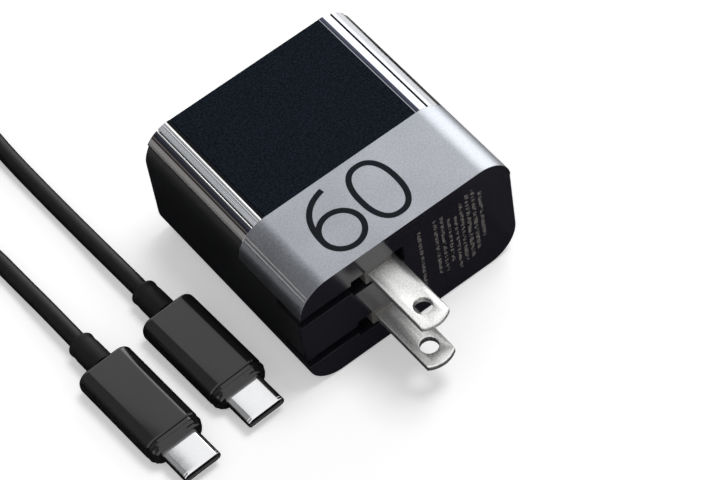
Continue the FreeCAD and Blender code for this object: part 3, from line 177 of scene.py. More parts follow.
# A white room for whatever looks straight or mirrors, a softer one for plain surfaces, a
# wide sun from above and a softbox from the right
def lightStudio():
    bpy.context.scene.view_settings.view_transform = "Standard"
    world = bpy.data.worlds.new("white_room")
    bpy.context.scene.world = world
    world.use_nodes = True
    world.node_tree.nodes.clear()
    ray = addNode(world, "LightPath")
    seen = addNode(world, "Math", {0: ray.outputs["Is Camera Ray"], 1: ray.outputs["Is Glossy Ray"]},
                   operation="MAXIMUM")
    shown = addNode(world, "Math", {0: seen.outputs[0], 1: ray.outputs["Is Transmission Ray"]},
                    operation="MAXIMUM")
    # The room's light grows towards the camera's side: ambient * (1 + lean . direction)
    toward = addNode(world, "VectorMath", {0: addNode(world, "TexCoord").outputs["Generated"],
                                           1: studio["lean"]}, operation="DOT_PRODUCT")
    leaning = addNode(world, "Math", {0: toward.outputs["Value"], 1: studio["ambient"],
                                      2: studio["ambient"]}, operation="MULTIPLY_ADD")
    room = addNode(world, "Background", {"Color": linear("#ffffff"), "Strength": leaning.outputs[0]})
    white = addNode(world, "Background", {"Color": linear("#ffffff"), "Strength": 1.0})
    both = addNode(world, "MixShader", {0: shown.outputs[0], 1: room.outputs[0], 2: white.outputs[0]})
    addNode(world, "OutputWorld", {"Surface": both.outputs[0]})

    key = bpy.data.lights.new("key_sun", "SUN")
    key.energy = studio["key"]["strength"]
    key.angle = np.radians(studio["key"]["spread"])
    sun = bpy.data.objects.new("key_sun", key)
    sun.rotation_euler = aimed(studio["key"]["from"])
    sun.visible_glossy = False            # the room and the softbox are what shines back
    bpy.context.collection.objects.link(sun)

    box = bpy.data.lights.new("right_softbox", "AREA")
    box.shape = "RECTANGLE"
    box.size, box.size_y = studio["softbox"]["size"]
    box.energy = studio["softbox"]["power"]
    soft = bpy.data.objects.new("right_softbox", box)
    soft.location = studio["softbox"]["place"]
    soft.rotation_euler = aimed(studio["softbox"]["place"])
    bpy.context.collection.objects.link(soft)


# A flat sheet of four corners, half its size each way
def stageSheet(name, width, height, material):
    halfX, halfY = width / 2, height / 2
    mesh = bpy.data.meshes.new(name)
    mesh.from_pydata([(-halfX, -halfY, 0), (halfX, -halfY, 0), (halfX, halfY, 0), (-halfX, halfY, 0)],
                     [], [(0, 1, 2, 3)])
    mesh.materials.append(material)
    sheet = bpy.data.objects.new(name, mesh)
    bpy.context.collection.objects.link(sheet)
    return sheet


# A dull stage material without any shine, which may glow white by itself
def dull(name, shade, glow=0.0):
    return newSurface(name, {"Base Color": linear(shade), "Roughness": 1.0,
                             "Specular IOR Level": 0.0, "Emission Color": linear("#ffffff"),
                             "Emission Strength": glow})[0]


# Leaves a stage sheet only in what shiny surfaces reflect
def onlyReflected(sheet):
    sheet.visible_camera = False
    sheet.visible_diffuse = False
    sheet.visible_shadow = False
    sheet.visible_transmission = False


# The floor, the felt on it and the grey card, whose tones rise with its own height
def layStage():
    table = dull("back_lit_white_acrylic", "#ffffff", studio["floorGlow"])
    stageSheet("floor", studio["floorSize"], studio["floorSize"], table)

    for (lowX, highX, lowY, highY), shade in studio["floorFelt"]["sheets"]:
        sheet = stageSheet("floor_felt", highX - lowX, highY - lowY, dull("wool_felt", shade))
        sheet.location = ((lowX + highX) / 2, (lowY + highY) / 2, studio["floorFelt"]["level"])
        onlyReflected(sheet)

    card = studio["leftCard"]
    grey = bpy.data.materials.new("graded_grey_card")
    grey.use_nodes = True
    grey.node_tree.nodes.clear()
    place = addNode(grey, "SeparateXYZ", {0: addNode(grey, "TexCoord").outputs["Object"]})
    rise = addNode(grey, "MapRange", {"Value": place.outputs["Y"], "From Min": -card["size"][1] / 2,
                                      "From Max": card["size"][1] / 2})
    tones = toneRamp(grey, rise.outputs[0], card["tones"])
    glow = addNode(grey, "Emission", {"Color": tones})
    addNode(grey, "OutputMaterial", {"Surface": glow.outputs[0]})
    sheet = stageSheet("left_card", *card["size"], grey)
    sheet.location = card["place"]
    sheet.rotation_euler = aimed(card["place"])
    onlyReflected(sheet)


placeCamera()
lightStudio()
layStage()
print("camera, lamps and floor stand")


# Materials

# A pattern's scale from a real size in millimetres
def perMetre(size):
    return 1 / (size * mm)


# What all grained finishes share, unless a look says otherwise. The bumps are as high as
# liftShare of the grain
grainRule = {"detail": 3.0, "roughness": 0.6, "cloudDetail": 2.0, "cloudShare": 0.35,
             "span": (0.45, 0.9), "liftShare": 0.25}


# Two tones and two roughnesses mixed by noise, which also lifts the surface: the mix is
# grain + cloudShare * cloud, spread over the span. Both sizes are in millimetres. A real
# moulded or blasted grain is too fine to show in the render, so it is drawn coarser. A
# colour Mix has its two colours on inputs 6 and 7 and their blend on output 2
def grained(look):
    look = {**grainRule, **look}
    material, shader = newSurface(look["name"], look["shader"])
    place = addNode(material, "TexCoord").outputs["Object"]
    grain = addNode(material, "TexNoise", {"Vector": place, "Scale": perMetre(look["grain"]),
                                           "Detail": look["detail"], "Roughness": look["roughness"]})
    cloud = addNode(material, "TexNoise", {"Vector": place, "Scale": perMetre(look["cloud"]),
                                           "Detail": look["cloudDetail"]})
    both = addNode(material, "Math", {0: cloud.outputs["Fac"], 1: look["cloudShare"],
                                      2: grain.outputs["Fac"]}, operation="MULTIPLY_ADD")
    low, high = look["span"]
    spread = addNode(material, "MapRange", {"Value": both.outputs[0], "From Min": low,
                                            "From Max": high})
    tone = addNode(material, "Mix", {"Factor": spread.outputs[0]}, data_type="RGBA")
    tone.inputs[6].default_value = linear(look["dark"])
    tone.inputs[7].default_value = linear(look["light"])
    rough = addNode(material, "MapRange", {"Value": spread.outputs[0], "To Min": look["rough"][0],
                                           "To Max": look["rough"][1]})
    lift = addNode(material, "Bump", {"Height": grain.outputs["Fac"], "Strength": look["lift"],
                                      "Distance": look["grain"] * mm * look["liftShare"]})
    link = material.node_tree.links.new
    link(tone.outputs[2], shader.inputs["Base Color"])
    link(rough.outputs[0], shader.inputs["Roughness"])
    link(lift.outputs[0], shader.inputs["Normal"])
    return material


# Polycarbonate from an eroded mould: a soft black with a dull broad shine
satinPolycarbonate = {
    "name": "satin_moulded_polycarbonate", "dark": "#0e0f12", "light": "#1a1b1e",
    "grain": 0.12, "cloud": 9.0, "rough": (0.34, 0.46), "lift": 0.25,
    "shader": {"IOR": 1.58},
}
# The same plastic from a polished mould: deeper, with a clear shine
polishedPolycarbonate = {
    "name": "polished_moulded_polycarbonate", "dark": "#17161c", "light": "#242229",
    "grain": 0.3, "cloud": 12.0, "rough": (0.12, 0.19), "lift": 0.02,
    "shader": {"IOR": 1.58},
}
# Bead-blasted and anodised aluminium: an even silver with a soft wide shine
satinAluminium = {
    "name": "satin_anodised_aluminium", "dark": "#9c9fa6", "light": "#afb2b8",
    "grain": 0.32, "cloud": 9.0, "span": (0.55, 0.82), "rough": (0.3, 0.4), "lift": 0.12,
    "shader": {"Metallic": 1.0},
}
# Pale hairlines on the cap: a painted highlight, chalky and pale, for thin lines of reflected light
# along the left corner
paleHairlineHighlight = {
    "name": "pale_hairline_painted_highlight", "dark": "#b3aca7", "light": "#e6e0da",
    "grain": 0.5, "cloud": 3.0, "rough": (0.6, 0.8), "lift": 0.2,
    "shader": {"IOR": 1.6, "Specular IOR Level": 0.2},
}
# Soft-touch lacquer with a coarse grain: nearly no shine, small light and dark flecks
grainedLacquer = {
    "name": "grained_navy_lacquer", "dark": "#05080e", "light": "#1f2632",
    "grain": 0.36, "cloud": 6.0, "cloudShare": 0.05, "span": (0.40, 0.66), "rough": (0.6, 0.8),
    "lift": 0.5,
    "shader": {"IOR": 1.48, "Specular IOR Level": 0.05},
}
# Nickel-plated brass: bright and warm grey, with the rolled sheet's fine flecks
platedBrass = {
    "name": "nickel_plated_brass", "dark": "#d6d5d2", "light": "#fdfdfc",
    "grain": 0.28, "cloud": 4.0, "cloudShare": 0.12, "span": (0.36, 0.66),
    "rough": (0.34, 0.46), "lift": 0.06,
    "shader": {"Metallic": 1.0},
}
# Sides of the same strip, painted darker: a painted reflection for the dark outlines along the blades'
# edges
bladeSidesPaintedDark = {
    "name": "brass_sides_painted_dark", "dark": "#262522", "light": "#5c5a55",
    "grain": 0.3, "cloud": 2.0, "rough": (0.3, 0.42), "lift": 0.1,
    "shader": {"Metallic": 1.0},
}
# Glass-filled nylon: mid grey, dull
greyNylon = {
    "name": "moulded_grey_nylon", "dark": "#4a4845", "light": "#5c5956",
    "grain": 0.14, "cloud": 3.0, "rough": (0.5, 0.62), "lift": 0.2,
    "shader": {"IOR": 1.53},
}
# Black polyester resin of the parts inside: dull, slightly brown
blackResin = {
    "name": "moulded_black_resin", "dark": "#121212", "light": "#1d1c1b",
    "grain": 0.15, "cloud": 3.0, "rough": (0.45, 0.6), "lift": 0.2,
    "shader": {"IOR": 1.55, "Specular IOR Level": 0.35},
}
# Drawn steel of the plug's shell: bright, with a faint haze
drawnSteel = {
    "name": "drawn_stainless_steel", "dark": "#ebecee", "light": "#f6f6f7",
    "grain": 0.2, "cloud": 3.0, "rough": (0.1, 0.16), "lift": 0.01,
    "shader": {"Metallic": 1.0},
}
# Thermoplastic elastomer over the plug: dark grey, silky
silkyElastomer = {
    "name": "moulded_elastomer_boot", "dark": "#131313", "light": "#1f1f1f",
    "grain": 0.22, "cloud": 4.0, "rough": (0.1, 0.17), "lift": 0.03,
    "shader": {"IOR": 1.6},
}
# The softer grade behind the boot: a duller black
dullElastomer = {
    "name": "moulded_elastomer_relief", "dark": "#121212", "light": "#1c1c1c",
    "grain": 0.16, "cloud": 3.0, "rough": (0.42, 0.55), "lift": 0.2,
    "shader": {"IOR": 1.5, "Specular IOR Level": 0.2},
}
# Extruded jacket: black with a silky band of light along it
extrudedJacket = {
    "name": "extruded_elastomer_jacket", "dark": "#0d0d0d", "light": "#1d1d1d",
    "grain": 0.25, "cloud": 2.5, "rough": (0.34, 0.48), "lift": 0.35,
    "shader": {"IOR": 1.5, "Specular IOR Level": 0.25},
}
# Hook-and-loop tape of napped nylon: no shine, a fine nap
nappedNylon = {
    "name": "napped_nylon_tape", "dark": "#0e0e0f", "light": "#26262a",
    "grain": 0.25, "cloud": 2.0, "rough": (0.8, 0.95), "lift": 0.9,
    "shader": {"IOR": 1.53, "Specular IOR Level": 0.2, "Sheen Weight": 0.2},
}
# Zinc-plated steel: cold grey, a little hazy
zincedSteel = {
    "name": "zinc_plated_steel", "dark": "#9a9da2", "light": "#c3c6ca",
    "grain": 0.3, "cloud": 1.5, "rough": (0.25, 0.4), "lift": 0.1,
    "shader": {"Metallic": 1.0},
}
# Hard-rolled stainless strip: clean grey
rolledStrip = {
    "name": "rolled_stainless_strip", "dark": "#a9abad", "light": "#c9cbcc",
    "grain": 0.25, "cloud": 2.0, "rough": (0.2, 0.3), "lift": 0.05,
    "shader": {"Metallic": 1.0},
}
# Phosphor bronze strip: reddish gold
bronzeStrip = {
    "name": "phosphor_bronze_strip", "dark": "#b27b4e", "light": "#d8a273",
    "grain": 0.25, "cloud": 2.0, "rough": (0.22, 0.34), "lift": 0.05,
    "shader": {"Metallic": 1.0},
}
# Gold flash on the contacts: warm and bright
goldFlash = {
    "name": "gold_plated_contact", "dark": "#d9a441", "light": "#f0c667",
    "grain": 0.15, "cloud": 1.0, "rough": (0.18, 0.28), "lift": 0.03,
    "shader": {"Metallic": 1.0},
}
# Extruded vinyl sleeve of a wire: smooth dark red with a soft shine
vinylSleeve = {
    "name": "extruded_vinyl_sleeve", "dark": "#7c1d1a", "light": "#95261f",
    "grain": 0.2, "cloud": 1.5, "rough": (0.3, 0.42), "lift": 0.1,
    "shader": {"IOR": 1.54},
}
# Solder mask over glass cloth: glossy green, faintly mottled by the cloth below
solderMask = {
    "name": "solder_mask_on_glass_cloth", "dark": "#0d4428", "light": "#146038",
    "grain": 0.5, "cloud": 5.0, "rough": (0.18, 0.3), "lift": 0.1,
    "shader": {"IOR": 1.55},
}
# Polyester film: milky and smooth
polyesterFilm = {
    "name": "polyester_film", "dark": "#cfd2cf", "light": "#e3e5e2",
    "grain": 0.4, "cloud": 6.0, "rough": (0.2, 0.35), "lift": 0.05,
    "shader": {"IOR": 1.64},
}
# Milled aluminium of the heat spreader: plain grey with a broad dull shine
milledAluminium = {
    "name": "milled_aluminium", "dark": "#a5a7a9", "light": "#c6c8ca",
    "grain": 0.3, "cloud": 3.0, "rough": (0.32, 0.45), "lift": 0.15,
    "shader": {"Metallic": 1.0},
}
# Filled silicone pad: dull pale blue-grey, a little gritty
siliconePad = {
    "name": "filled_silicone_pad", "dark": "#7f8c98", "light": "#9aa7b2",
    "grain": 0.35, "cloud": 3.0, "rough": (0.7, 0.85), "lift": 0.5,
    "shader": {"IOR": 1.43},
}
# Epoxy moulding compound: charcoal with a fine dull grain
epoxyCompound = {
    "name": "epoxy_moulding_compound", "dark": "#17181a", "light": "#232427",
    "grain": 0.12, "cloud": 2.0, "rough": (0.5, 0.64), "lift": 0.35,
    "shader": {"IOR": 1.55},
}
# Moulded phenolic cap of the fuse: reddish brown, a little dull
fuseCap = {
    "name": "moulded_fuse_cap", "dark": "#4c2a1b", "light": "#5e3523",
    "grain": 0.18, "cloud": 2.5, "rough": (0.4, 0.52), "lift": 0.15,
    "shader": {"IOR": 1.55},
}
# Sintered ferrite: dark grey, matt, chalky grain
sinteredFerrite = {
    "name": "sintered_ferrite", "dark": "#26272a", "light": "#3a3b3f",
    "grain": 0.2, "cloud": 3.0, "rough": (0.6, 0.75), "lift": 0.4,
    "shader": {"IOR": 2.0, "Specular IOR Level": 0.3},
}
# Box of a film capacitor: smooth yellow polyester
filmBox = {
    "name": "moulded_capacitor_box", "dark": "#c9a13a", "light": "#dcb54b",
    "grain": 0.3, "cloud": 4.0, "rough": (0.35, 0.45), "lift": 0.08,
    "shader": {"IOR": 1.55},
}
# Shrunk sleeve of an electrolytic capacitor: dark green film over its can
shrunkSleeve = {
    "name": "shrunk_capacitor_sleeve", "dark": "#12302a", "light": "#1a3f37",
    "grain": 0.35, "cloud": 5.0, "rough": (0.2, 0.3), "lift": 0.08,
    "shader": {"IOR": 1.54},
}
# Polyester tape round the winding: amber and glossy, a little uneven
windingTape = {
    "name": "polyester_winding_tape", "dark": "#c08a1f", "light": "#d9a335",
    "grain": 0.3, "cloud": 2.0, "rough": (0.25, 0.38), "lift": 0.12,
    "shader": {"IOR": 1.64},
}
# Nickel-plated steel of the outlet's shell: clean and slightly warm
platedShell = {
    "name": "nickel_plated_steel_shell", "dark": "#bdbbb6", "light": "#d9d7d2",
    "grain": 0.25, "cloud": 2.0, "rough": (0.2, 0.3), "lift": 0.06,
    "shader": {"Metallic": 1.0},
}
# Screen-printed ink on the cap: blue-black and dull
darkInk = {
    "name": "screen_printed_dark_ink", "dark": "#06090e", "light": "#131821",
    "grain": 0.18, "cloud": 2.0, "rough": (0.5, 0.62), "lift": 0.15,
    "shader": {"IOR": 1.5, "Specular IOR Level": 0.12},
}
# Laser marks on the face: warm grey and dull
paleInk = {
    "name": "laser_marked_grey", "dark": "#5a5854", "light": "#a5a199",
    "grain": 0.2, "cloud": 1.2, "rough": (0.5, 0.6), "lift": 0.1,
    "shader": {"IOR": 1.5, "Specular IOR Level": 0.3},
}

# Which finish each material slot of the record gets
slotLooks = {
    "black_shell": satinPolycarbonate, "face_black": polishedPolycarbonate,
    "silver_cap": satinAluminium, "navy_panel": grainedLacquer, "blade_metal": platedBrass,
    "hub_grey": greyNylon, "inner_black": blackResin, "screw_steel": zincedSteel,
    "spring_steel": rolledStrip, "contact_bronze": bronzeStrip, "wire_sleeve": vinylSleeve,
    "board_green": solderMask, "film": polyesterFilm, "spreader": milledAluminium,
    "pad_grey": siliconePad, "chip_black": epoxyCompound, "fuse_grey": fuseCap,
    "ferrite": sinteredFerrite, "film_capacitor": filmBox, "capacitor_sleeve": shrunkSleeve,
    "winding_tape": windingTape, "bobbin_black": blackResin, "outlet_steel": platedShell,
    "plug_steel": drawnSteel, "plug_black": silkyElastomer, "relief_black": dullElastomer,
    "nose_black": silkyElastomer, "cord_black": extrudedJacket, "tie_black": nappedNylon,
}
finishes = {}


# Each finish is made once, when the first piece asks for it
def finish(look):
    if look["name"] not in finishes:
        finishes[look["name"]] = grained(look)
    return finishes[look["name"]]


# Mesh helpers

# Angles in degrees, distances in millimetres. A face stands upright where its normal's
# height is below uprightBelow
edges = {"sharpFrom": 35, "bevelFrom": 32, "segments": 2, "mergeWithin": 0.002,
         "flatWithin": 0.6, "uprightBelow": 0.4}


# Turns the faces outwards where the skin's volume comes out negative
def pointOut(points, quads):
    first, second, third, fourth = (points[quads[:, i]] for i in range(4))
    volume = (np.cross(first, second) * third).sum() + (np.cross(first, third) * fourth).sum()
    return quads if volume > 0 else quads[:, ::-1]


# Joins rings of points: row i, column j meets row i + 1, column j + 1. Open ends are
# closed by a ladder of quads, because point j lies across from the last but j
def skinned(rings, closedRows=False):
    rows, columns = rings.shape[:2]
    index = np.arange(rows * columns).reshape(rows, columns)
    if closedRows:
        index = np.vstack([index, index[:1]])
    beside = np.roll(index, -1, axis=1)
    quads = [np.stack([index[:-1], beside[:-1], beside[1:], index[1:]], -1).reshape(-1, 4)]
    if not closedRows:
        step = np.arange(columns // 2 - 1)
        rung = np.stack([step, step + 1, columns - 2 - step, columns - 1 - step], -1)
        quads += [rung[:, ::-1], rung + (rows - 1) * columns]
    points = rings.reshape(-1, 3)
    return points, pointOut(points, np.concatenate(quads))


# Many small blocks in one mesh: each has eight corners, its centre plus or minus its half
# sizes, and six faces
def blocks(centres, halves):
    signs = np.array([[-1, -1, -1], [1, -1, -1], [1, 1, -1], [-1, 1, -1],
                      [-1, -1, 1], [1, -1, 1], [1, 1, 1], [-1, 1, 1]])
    sides = np.array([[0, 3, 2, 1], [4, 5, 6, 7], [0, 1, 5, 4], [1, 2, 6, 5], [2, 3, 7, 6],
                      [3, 0, 4, 7]])
    centres = np.atleast_2d(centres)
    halves = np.broadcast_to(halves, centres.shape)
    points = (centres[:, None] + signs[None] * halves[:, None]).reshape(-1, 3)
    quads = (sides[None] + 8 * np.arange(len(centres))[:, None, None]).reshape(-1, 4)
    return points, quads


# Puts points in millimetres and faces into a piece that rides on a body
def addPiece(name, points, quads, material, body="adapter", replaced=(), uv=None):
    mesh = bpy.data.meshes.new(name)
    mesh.from_pydata((points * mm).tolist(), [], quads.tolist())
    mesh.materials.append(material)
    mesh.polygons.foreach_set("use_smooth", np.ones(len(mesh.polygons), bool))
    mesh.set_sharp_from_angle(angle=np.radians(edges["sharpFrom"]))
    if uv is not None:
        corner = np.empty(len(mesh.loops), int)
        mesh.loops.foreach_get("vertex_index", corner)
        layer = mesh.uv_layers.new(name="along_across")
        layer.data.foreach_set("uv", uv[corner].ravel())
    mesh.validate()
    piece = bpy.data.objects.new(name, mesh)
    bpy.context.collection.objects.link(piece)
    return adopt(piece, body, replaced)


# Says which body a piece rides on and which nodes it replaces
def adopt(piece, body, replaced):
    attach(piece, body)
    if replaced:
        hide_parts(*replaced)
    return piece


# A copy of a node with its points merged, flat areas joined and edges rounded. The faces
# that stand upright may have a look of their own, on the blades a darker one that paints a
# reflection, and a moulded piece's large flat faces are shaded evenly, while a punched one's
# roll off a little towards its edges
def roundedCopy(name, node, look, edge, body="adapter", uprightLook=None, even=True):
    mesh = frame["nodes"][node].data.copy()
    mesh.name = name
    work = bmesh.new()
    work.from_mesh(mesh)
    bmesh.ops.remove_doubles(work, verts=work.verts, dist=edges["mergeWithin"] * mm)
    bmesh.ops.dissolve_limit(work, angle_limit=np.radians(edges["flatWithin"]), verts=work.verts,
                             edges=work.edges)
    for face in work.faces:
        face.smooth = True
        upright = abs(face.normal.z) < edges["uprightBelow"]
        face.material_index = int(uprightLook is not None and upright)
    work.to_mesh(mesh)
    work.free()
    mesh.materials.clear()
    mesh.materials.append(finish(look))
    if uprightLook is not None:
        mesh.materials.append(finish(uprightLook))
    piece = bpy.data.objects.new(name, mesh)
    bpy.context.collection.objects.link(piece)
    bevel = piece.modifiers.new("broken_edges", "BEVEL")
    bevel.width = edge * mm
    bevel.segments = edges["segments"]
    bevel.limit_method = "ANGLE"
    bevel.angle_limit = np.radians(edges["bevelFrom"])
    if even:
        piece.modifiers.new("flat_faces_even", "WEIGHTED_NORMAL").keep_sharp = True
    else:
        bevel.harden_normals = True
    return adopt(piece, body, [node])


# Rings round a rectangle with rounded corners, each corner a quarter turn about its own
# centre. A row holds the level, the two half sizes and the corner's radius
def roundedRings(rows, perCorner=12):
    level, halfX, halfZ, radius = (column[:, None] for column in np.array(rows, float).T)
    turn = np.linspace(0, np.pi / 2, perCorner)
    angle = np.concatenate([turn + quarter * np.pi / 2 for quarter in range(4)])
    signX = np.repeat([1, -1, -1, 1], perCorner)
    signZ = np.repeat([1, 1, -1, -1], perCorner)
    x = signX * (halfX - radius) + radius * np.cos(angle)
    z = signZ * (halfZ - radius) + radius * np.sin(angle)
    return np.stack([x, np.broadcast_to(level, x.shape), z], -1)


# Turns points about the vertical axis by an angle in degrees
def turned(points, angle):
    turn = np.radians(angle)
    spin = np.array([[np.cos(turn), -np.sin(turn), 0], [np.sin(turn), np.cos(turn), 0], [0, 0, 1]])
    return points @ spin.T


# The places of a row of contact pads, evenly to both sides of the middle
def padRow(count, pitch):
    return (np.arange(count) - (count - 1) / 2) * pitch


# The lead: one spline from plug to plug, with its spare length wound beside the adapter.
# Its routes and the coil are in millimetres, the coil's climb, outward part and step in
# degrees

cord = {
    "diameter": 3.5, "stepsPerPoint": 4, "stepsAround": 5,
    "nearRoute": [(-35.7, 13.0, 2.9), (-36.014, 21.995, 2.9), (-36.05, 32.5, 1.75),
                  (-36.40, 45.5, 1.75), (-36.55, 58.5, 1.75), (-35.8, 71.8, 2.35),
                  (-35.8, 81.8, 2.35)],
    "farRoute": [(-72.427, 60.239, 6.35), (-63.767, 55.239, 6.35), (-55.70, 50.4, 4.15),
                 (-51.95, 42.0, 1.95), (-51.55, 31.0, 1.75), (-51.40, 20.5, 2.9),
                 (-51.2, 11.4, 2.9)],
    "coil": {"centre": (-62.0, 85.3), "radius": 26.2, "pitch": 4.3, "turns": 3, "climb": 180,
             "outward": 1140, "climbDip": 0.7, "low": 2.35, "high": 6.35, "step": 20},
}


# The coil: the radius shrinks steadily inward, the cord climbs in half a turn, where it
# dips in by half a sine wave, and the radius grows steadily outward. A spline of order 3
# passes inside its points, at three quarters of a point and an eighth of each neighbour,
# so the radius is divided by what that leaves of it
def coilPoints():
    coil = cord["coil"]
    inwardEnd = 360 * coil["turns"]
    angle = np.arange(coil["step"] / 2, inwardEnd + coil["climb"] + coil["outward"], coil["step"])
    inner = coil["radius"] - coil["pitch"] * coil["turns"]
    climbed = np.clip((angle - inwardEnd) / coil["climb"], 0, 1)
    radius = np.where(angle < inwardEnd, coil["radius"] - coil["pitch"] * angle / 360,
                      inner + coil["pitch"] * (angle - inwardEnd - coil["climb"]) / 360)
    dipped = inner - coil["climbDip"] * np.sin(np.pi * climbed)
    radius = np.where((climbed > 0) & (climbed < 1), dipped, radius)
    level = coil["low"] + (coil["high"] - coil["low"]) * climbed
    radius = radius / (0.75 + 0.25 * np.cos(np.radians(coil["step"])))
    turn = np.radians(angle)
    centreX, centreY = coil["centre"]
    return np.stack([centreX + radius * np.cos(turn), centreY + radius * np.sin(turn), level], 1)


# A round tube along a spline of order 3 over the near route, the coil and the far route
def layCord():
    route = np.concatenate([cord["nearRoute"], coilPoints(), cord["farRoute"]]) * mm
    curve = bpy.data.curves.new("lead_jacket", "CURVE")
    curve.dimensions = "3D"
    curve.resolution_u = cord["stepsPerPoint"]
    curve.bevel_depth = cord["diameter"] / 2 * mm
    curve.bevel_resolution = cord["stepsAround"]
    spline = curve.splines.new("NURBS")
    spline.points.add(len(route) - 1)
    spline.points.foreach_set("co", np.column_stack([route, np.ones(len(route))]).ravel())
    spline.order_u = 3
    spline.use_endpoint_u = True
    curve.materials.append(finish(extrudedJacket))
    lead = bpy.data.objects.new("lead_jacket", curve)
    bpy.context.collection.objects.link(lead)
    adopt(lead, "adapter", ["cord_near_stretch", "cord_coil", "cord_far_stretch"])


# The two plugs, each drawn with its cord end at its own origin and its mouth towards -Y

plug = {
    "angle": 2.0,
    "exits": {"near": (-35.7, 13.0, 2.9), "far": (-51.2, 11.4, 2.9)},
    "leastCorner": 0.05,
    "ovalShort": 0.01,                    # an oval's corners are this much below half its height
    "reliefLength": 7.2, "reliefRadius": 2.7, "reliefRound": 0.5,
    "reliefWaist": [(-2.6, 0.02), (-1.9, 0.1), (-1.4, 0.12), (-0.9, 0.02)],
    "reliefGrip": 0.05,                   # how far its mouth sits in the jacket
    "bootLength": 20.5, "bootHalf": (5.9, 2.9), "bootCorner": 2.6, "bootRear": 0.9,
    "bootFront": 0.25,
    "noseLength": 2.4, "noseInset": 0.05,
    "noseSteps": [(0.0, 0.42), (0.28, 0.40), (0.36, 0.04), (1.0, 0.0), (1.12, 0.24), (1.75, 0.36),
                  (1.85, 0.62), (2.25, 0.78), (2.4, 1.0)],
    "shellHalf": (4.125, 1.2), "shellSheet": 0.25, "shellReach": 6.65, "shellRound": 0.18,
    "shellInnerLip": 0.05,
    "shellLine": (0.62, 0.06, 0.05),      # behind the tip: place, half width and depth
    "insertSetback": 0.4,
    "slotHalf": (3.375, 0.5), "slotDepth": 5.0, "slotBevel": 0.08, "slotCorners": (0.12, 0.06),
    "padPitch": 0.5, "padHalf": (0.13, 1.7, 0.02), "padCount": 12, "padSetback": 0.5,
    "padSunk": 0.005,
}
plug["bootRearY"] = -plug["reliefLength"]
plug["bootFrontY"] = plug["bootRearY"] - plug["bootLength"]
plug["noseFrontY"] = plug["bootFrontY"] - plug["noseLength"]
plug["tipY"] = plug["noseFrontY"] - plug["shellReach"]


# Turns a plug's points to its heading and moves them to where its cord leaves it
def plugPlace(points, which):
    return turned(points, plug["angle"]) + plug["exits"][which]


# A quarter round from a face to a side: level and inset follow sine and cosine
def quarterRound(level, size, direction, steps=5):
    turn = np.linspace(0, np.pi / 2, steps)
    return [(level - direction * size * (1 - np.sin(t)), size * (1 - np.cos(t))) for t in turn]


# Rows whose two half sizes and corner shrink by the same inset
def insetRows(levelsAndInsets, half, corner):
    return [(level, half[0] - inset, half[1] - inset, max(corner - inset, plug["leastCorner"]))
            for level, inset in levelsAndInsets]


# Every part of a plug is a rounded rectangle carried along Y, each row with its own inset
def buildPlug(which):
    pieces = []

    def add(part, rings, material, closedRows=False):
        points, quads = skinned(rings, closedRows)
        node = f"{which}_plug_{part}"
        pieces.append(addPiece(f"{node}_surface", plugPlace(points, which), quads, material,
                               replaced=[node]))

    radius = plug["reliefRadius"]
    relief = [(plug["bootRearY"], 0), *plug["reliefWaist"]]
    relief += quarterRound(0, plug["reliefRound"], 1)
    relief += [(0, radius - cord["diameter"] / 2 + plug["reliefGrip"])]
    add("strain_relief", roundedRings(insetRows(relief, (radius, radius), radius)),
        finish(dullElastomer))

    half, corner = plug["bootHalf"], plug["bootCorner"]
    rear = quarterRound(plug["bootRearY"], plug["bootRear"], 1)
    front = [(plug["bootFrontY"], plug["bootFront"]), (plug["bootFrontY"] + plug["bootFront"], 0)]
    add("boot", roundedRings(insetRows(front + rear, half, corner)), finish(silkyElastomer))

    noseHalf = [size - plug["noseInset"] for size in half]
    noseCorner = corner - plug["noseInset"]
    shellHalf = plug["shellHalf"]
    shellCorner = shellHalf[1] - plug["ovalShort"]
    opening = [(level, *shellHalf, shellCorner) for level in (plug["noseFrontY"], plug["bootFrontY"])]
    outer = insetRows([(plug["bootFrontY"] - ahead, inset) for ahead, inset in plug["noseSteps"]],
                      noseHalf, noseCorner)
    add("nose_ring", roundedRings(outer + opening), finish(silkyElastomer), True)

    sheet = plug["shellSheet"]
    line, lineHalf, lineDepth = plug["shellLine"]
    wall = [(plug["bootFrontY"], 0), (plug["tipY"] + line + lineHalf, 0),
            (plug["tipY"] + line, lineDepth), (plug["tipY"] + line - lineHalf, 0)]
    wall += quarterRound(plug["tipY"], plug["shellRound"], -1)
    wall += [(plug["tipY"] + plug["shellInnerLip"], sheet), (plug["bootFrontY"], sheet)]
    add("shell", roundedRings(insetRows(wall, shellHalf, shellCorner)), finish(drawnSteel), True)

    fill = [size - sheet for size in shellHalf]
    fillCorner = fill[1] - plug["ovalShort"]
    face = plug["tipY"] + plug["insertSetback"]
    slotX, slotZ = plug["slotHalf"]
    bevel = plug["slotBevel"]
    mouthCorner, slotCorner = plug["slotCorners"]
    insert = [(plug["bootFrontY"], *fill, fillCorner), (face, *fill, fillCorner),
              (face, slotX + bevel, slotZ + bevel, mouthCorner),
              (face + bevel, slotX, slotZ, slotCorner),
              (face + plug["slotDepth"], slotX, slotZ, slotCorner)]
    add("contacts", roundedRings(insert), finish(blackResin))

    padX, padY, padZ = plug["padHalf"]
    centres = [(x, face + plug["padSetback"] + padY, side * (slotZ - padZ + plug["padSunk"]))
               for side in (-1, 1) for x in padRow(plug["padCount"], plug["padPitch"])]
    points, quads = blocks(np.array(centres), (padX, padY, padZ))
    pieces.append(addPiece(f"{which}_plug_gold_pads", plugPlace(points, which), quads,
                           finish(goldFlash)))
    return pieces


# Strap round the coil: a flat band bent to a rounded rectangle, with its end lapped on top

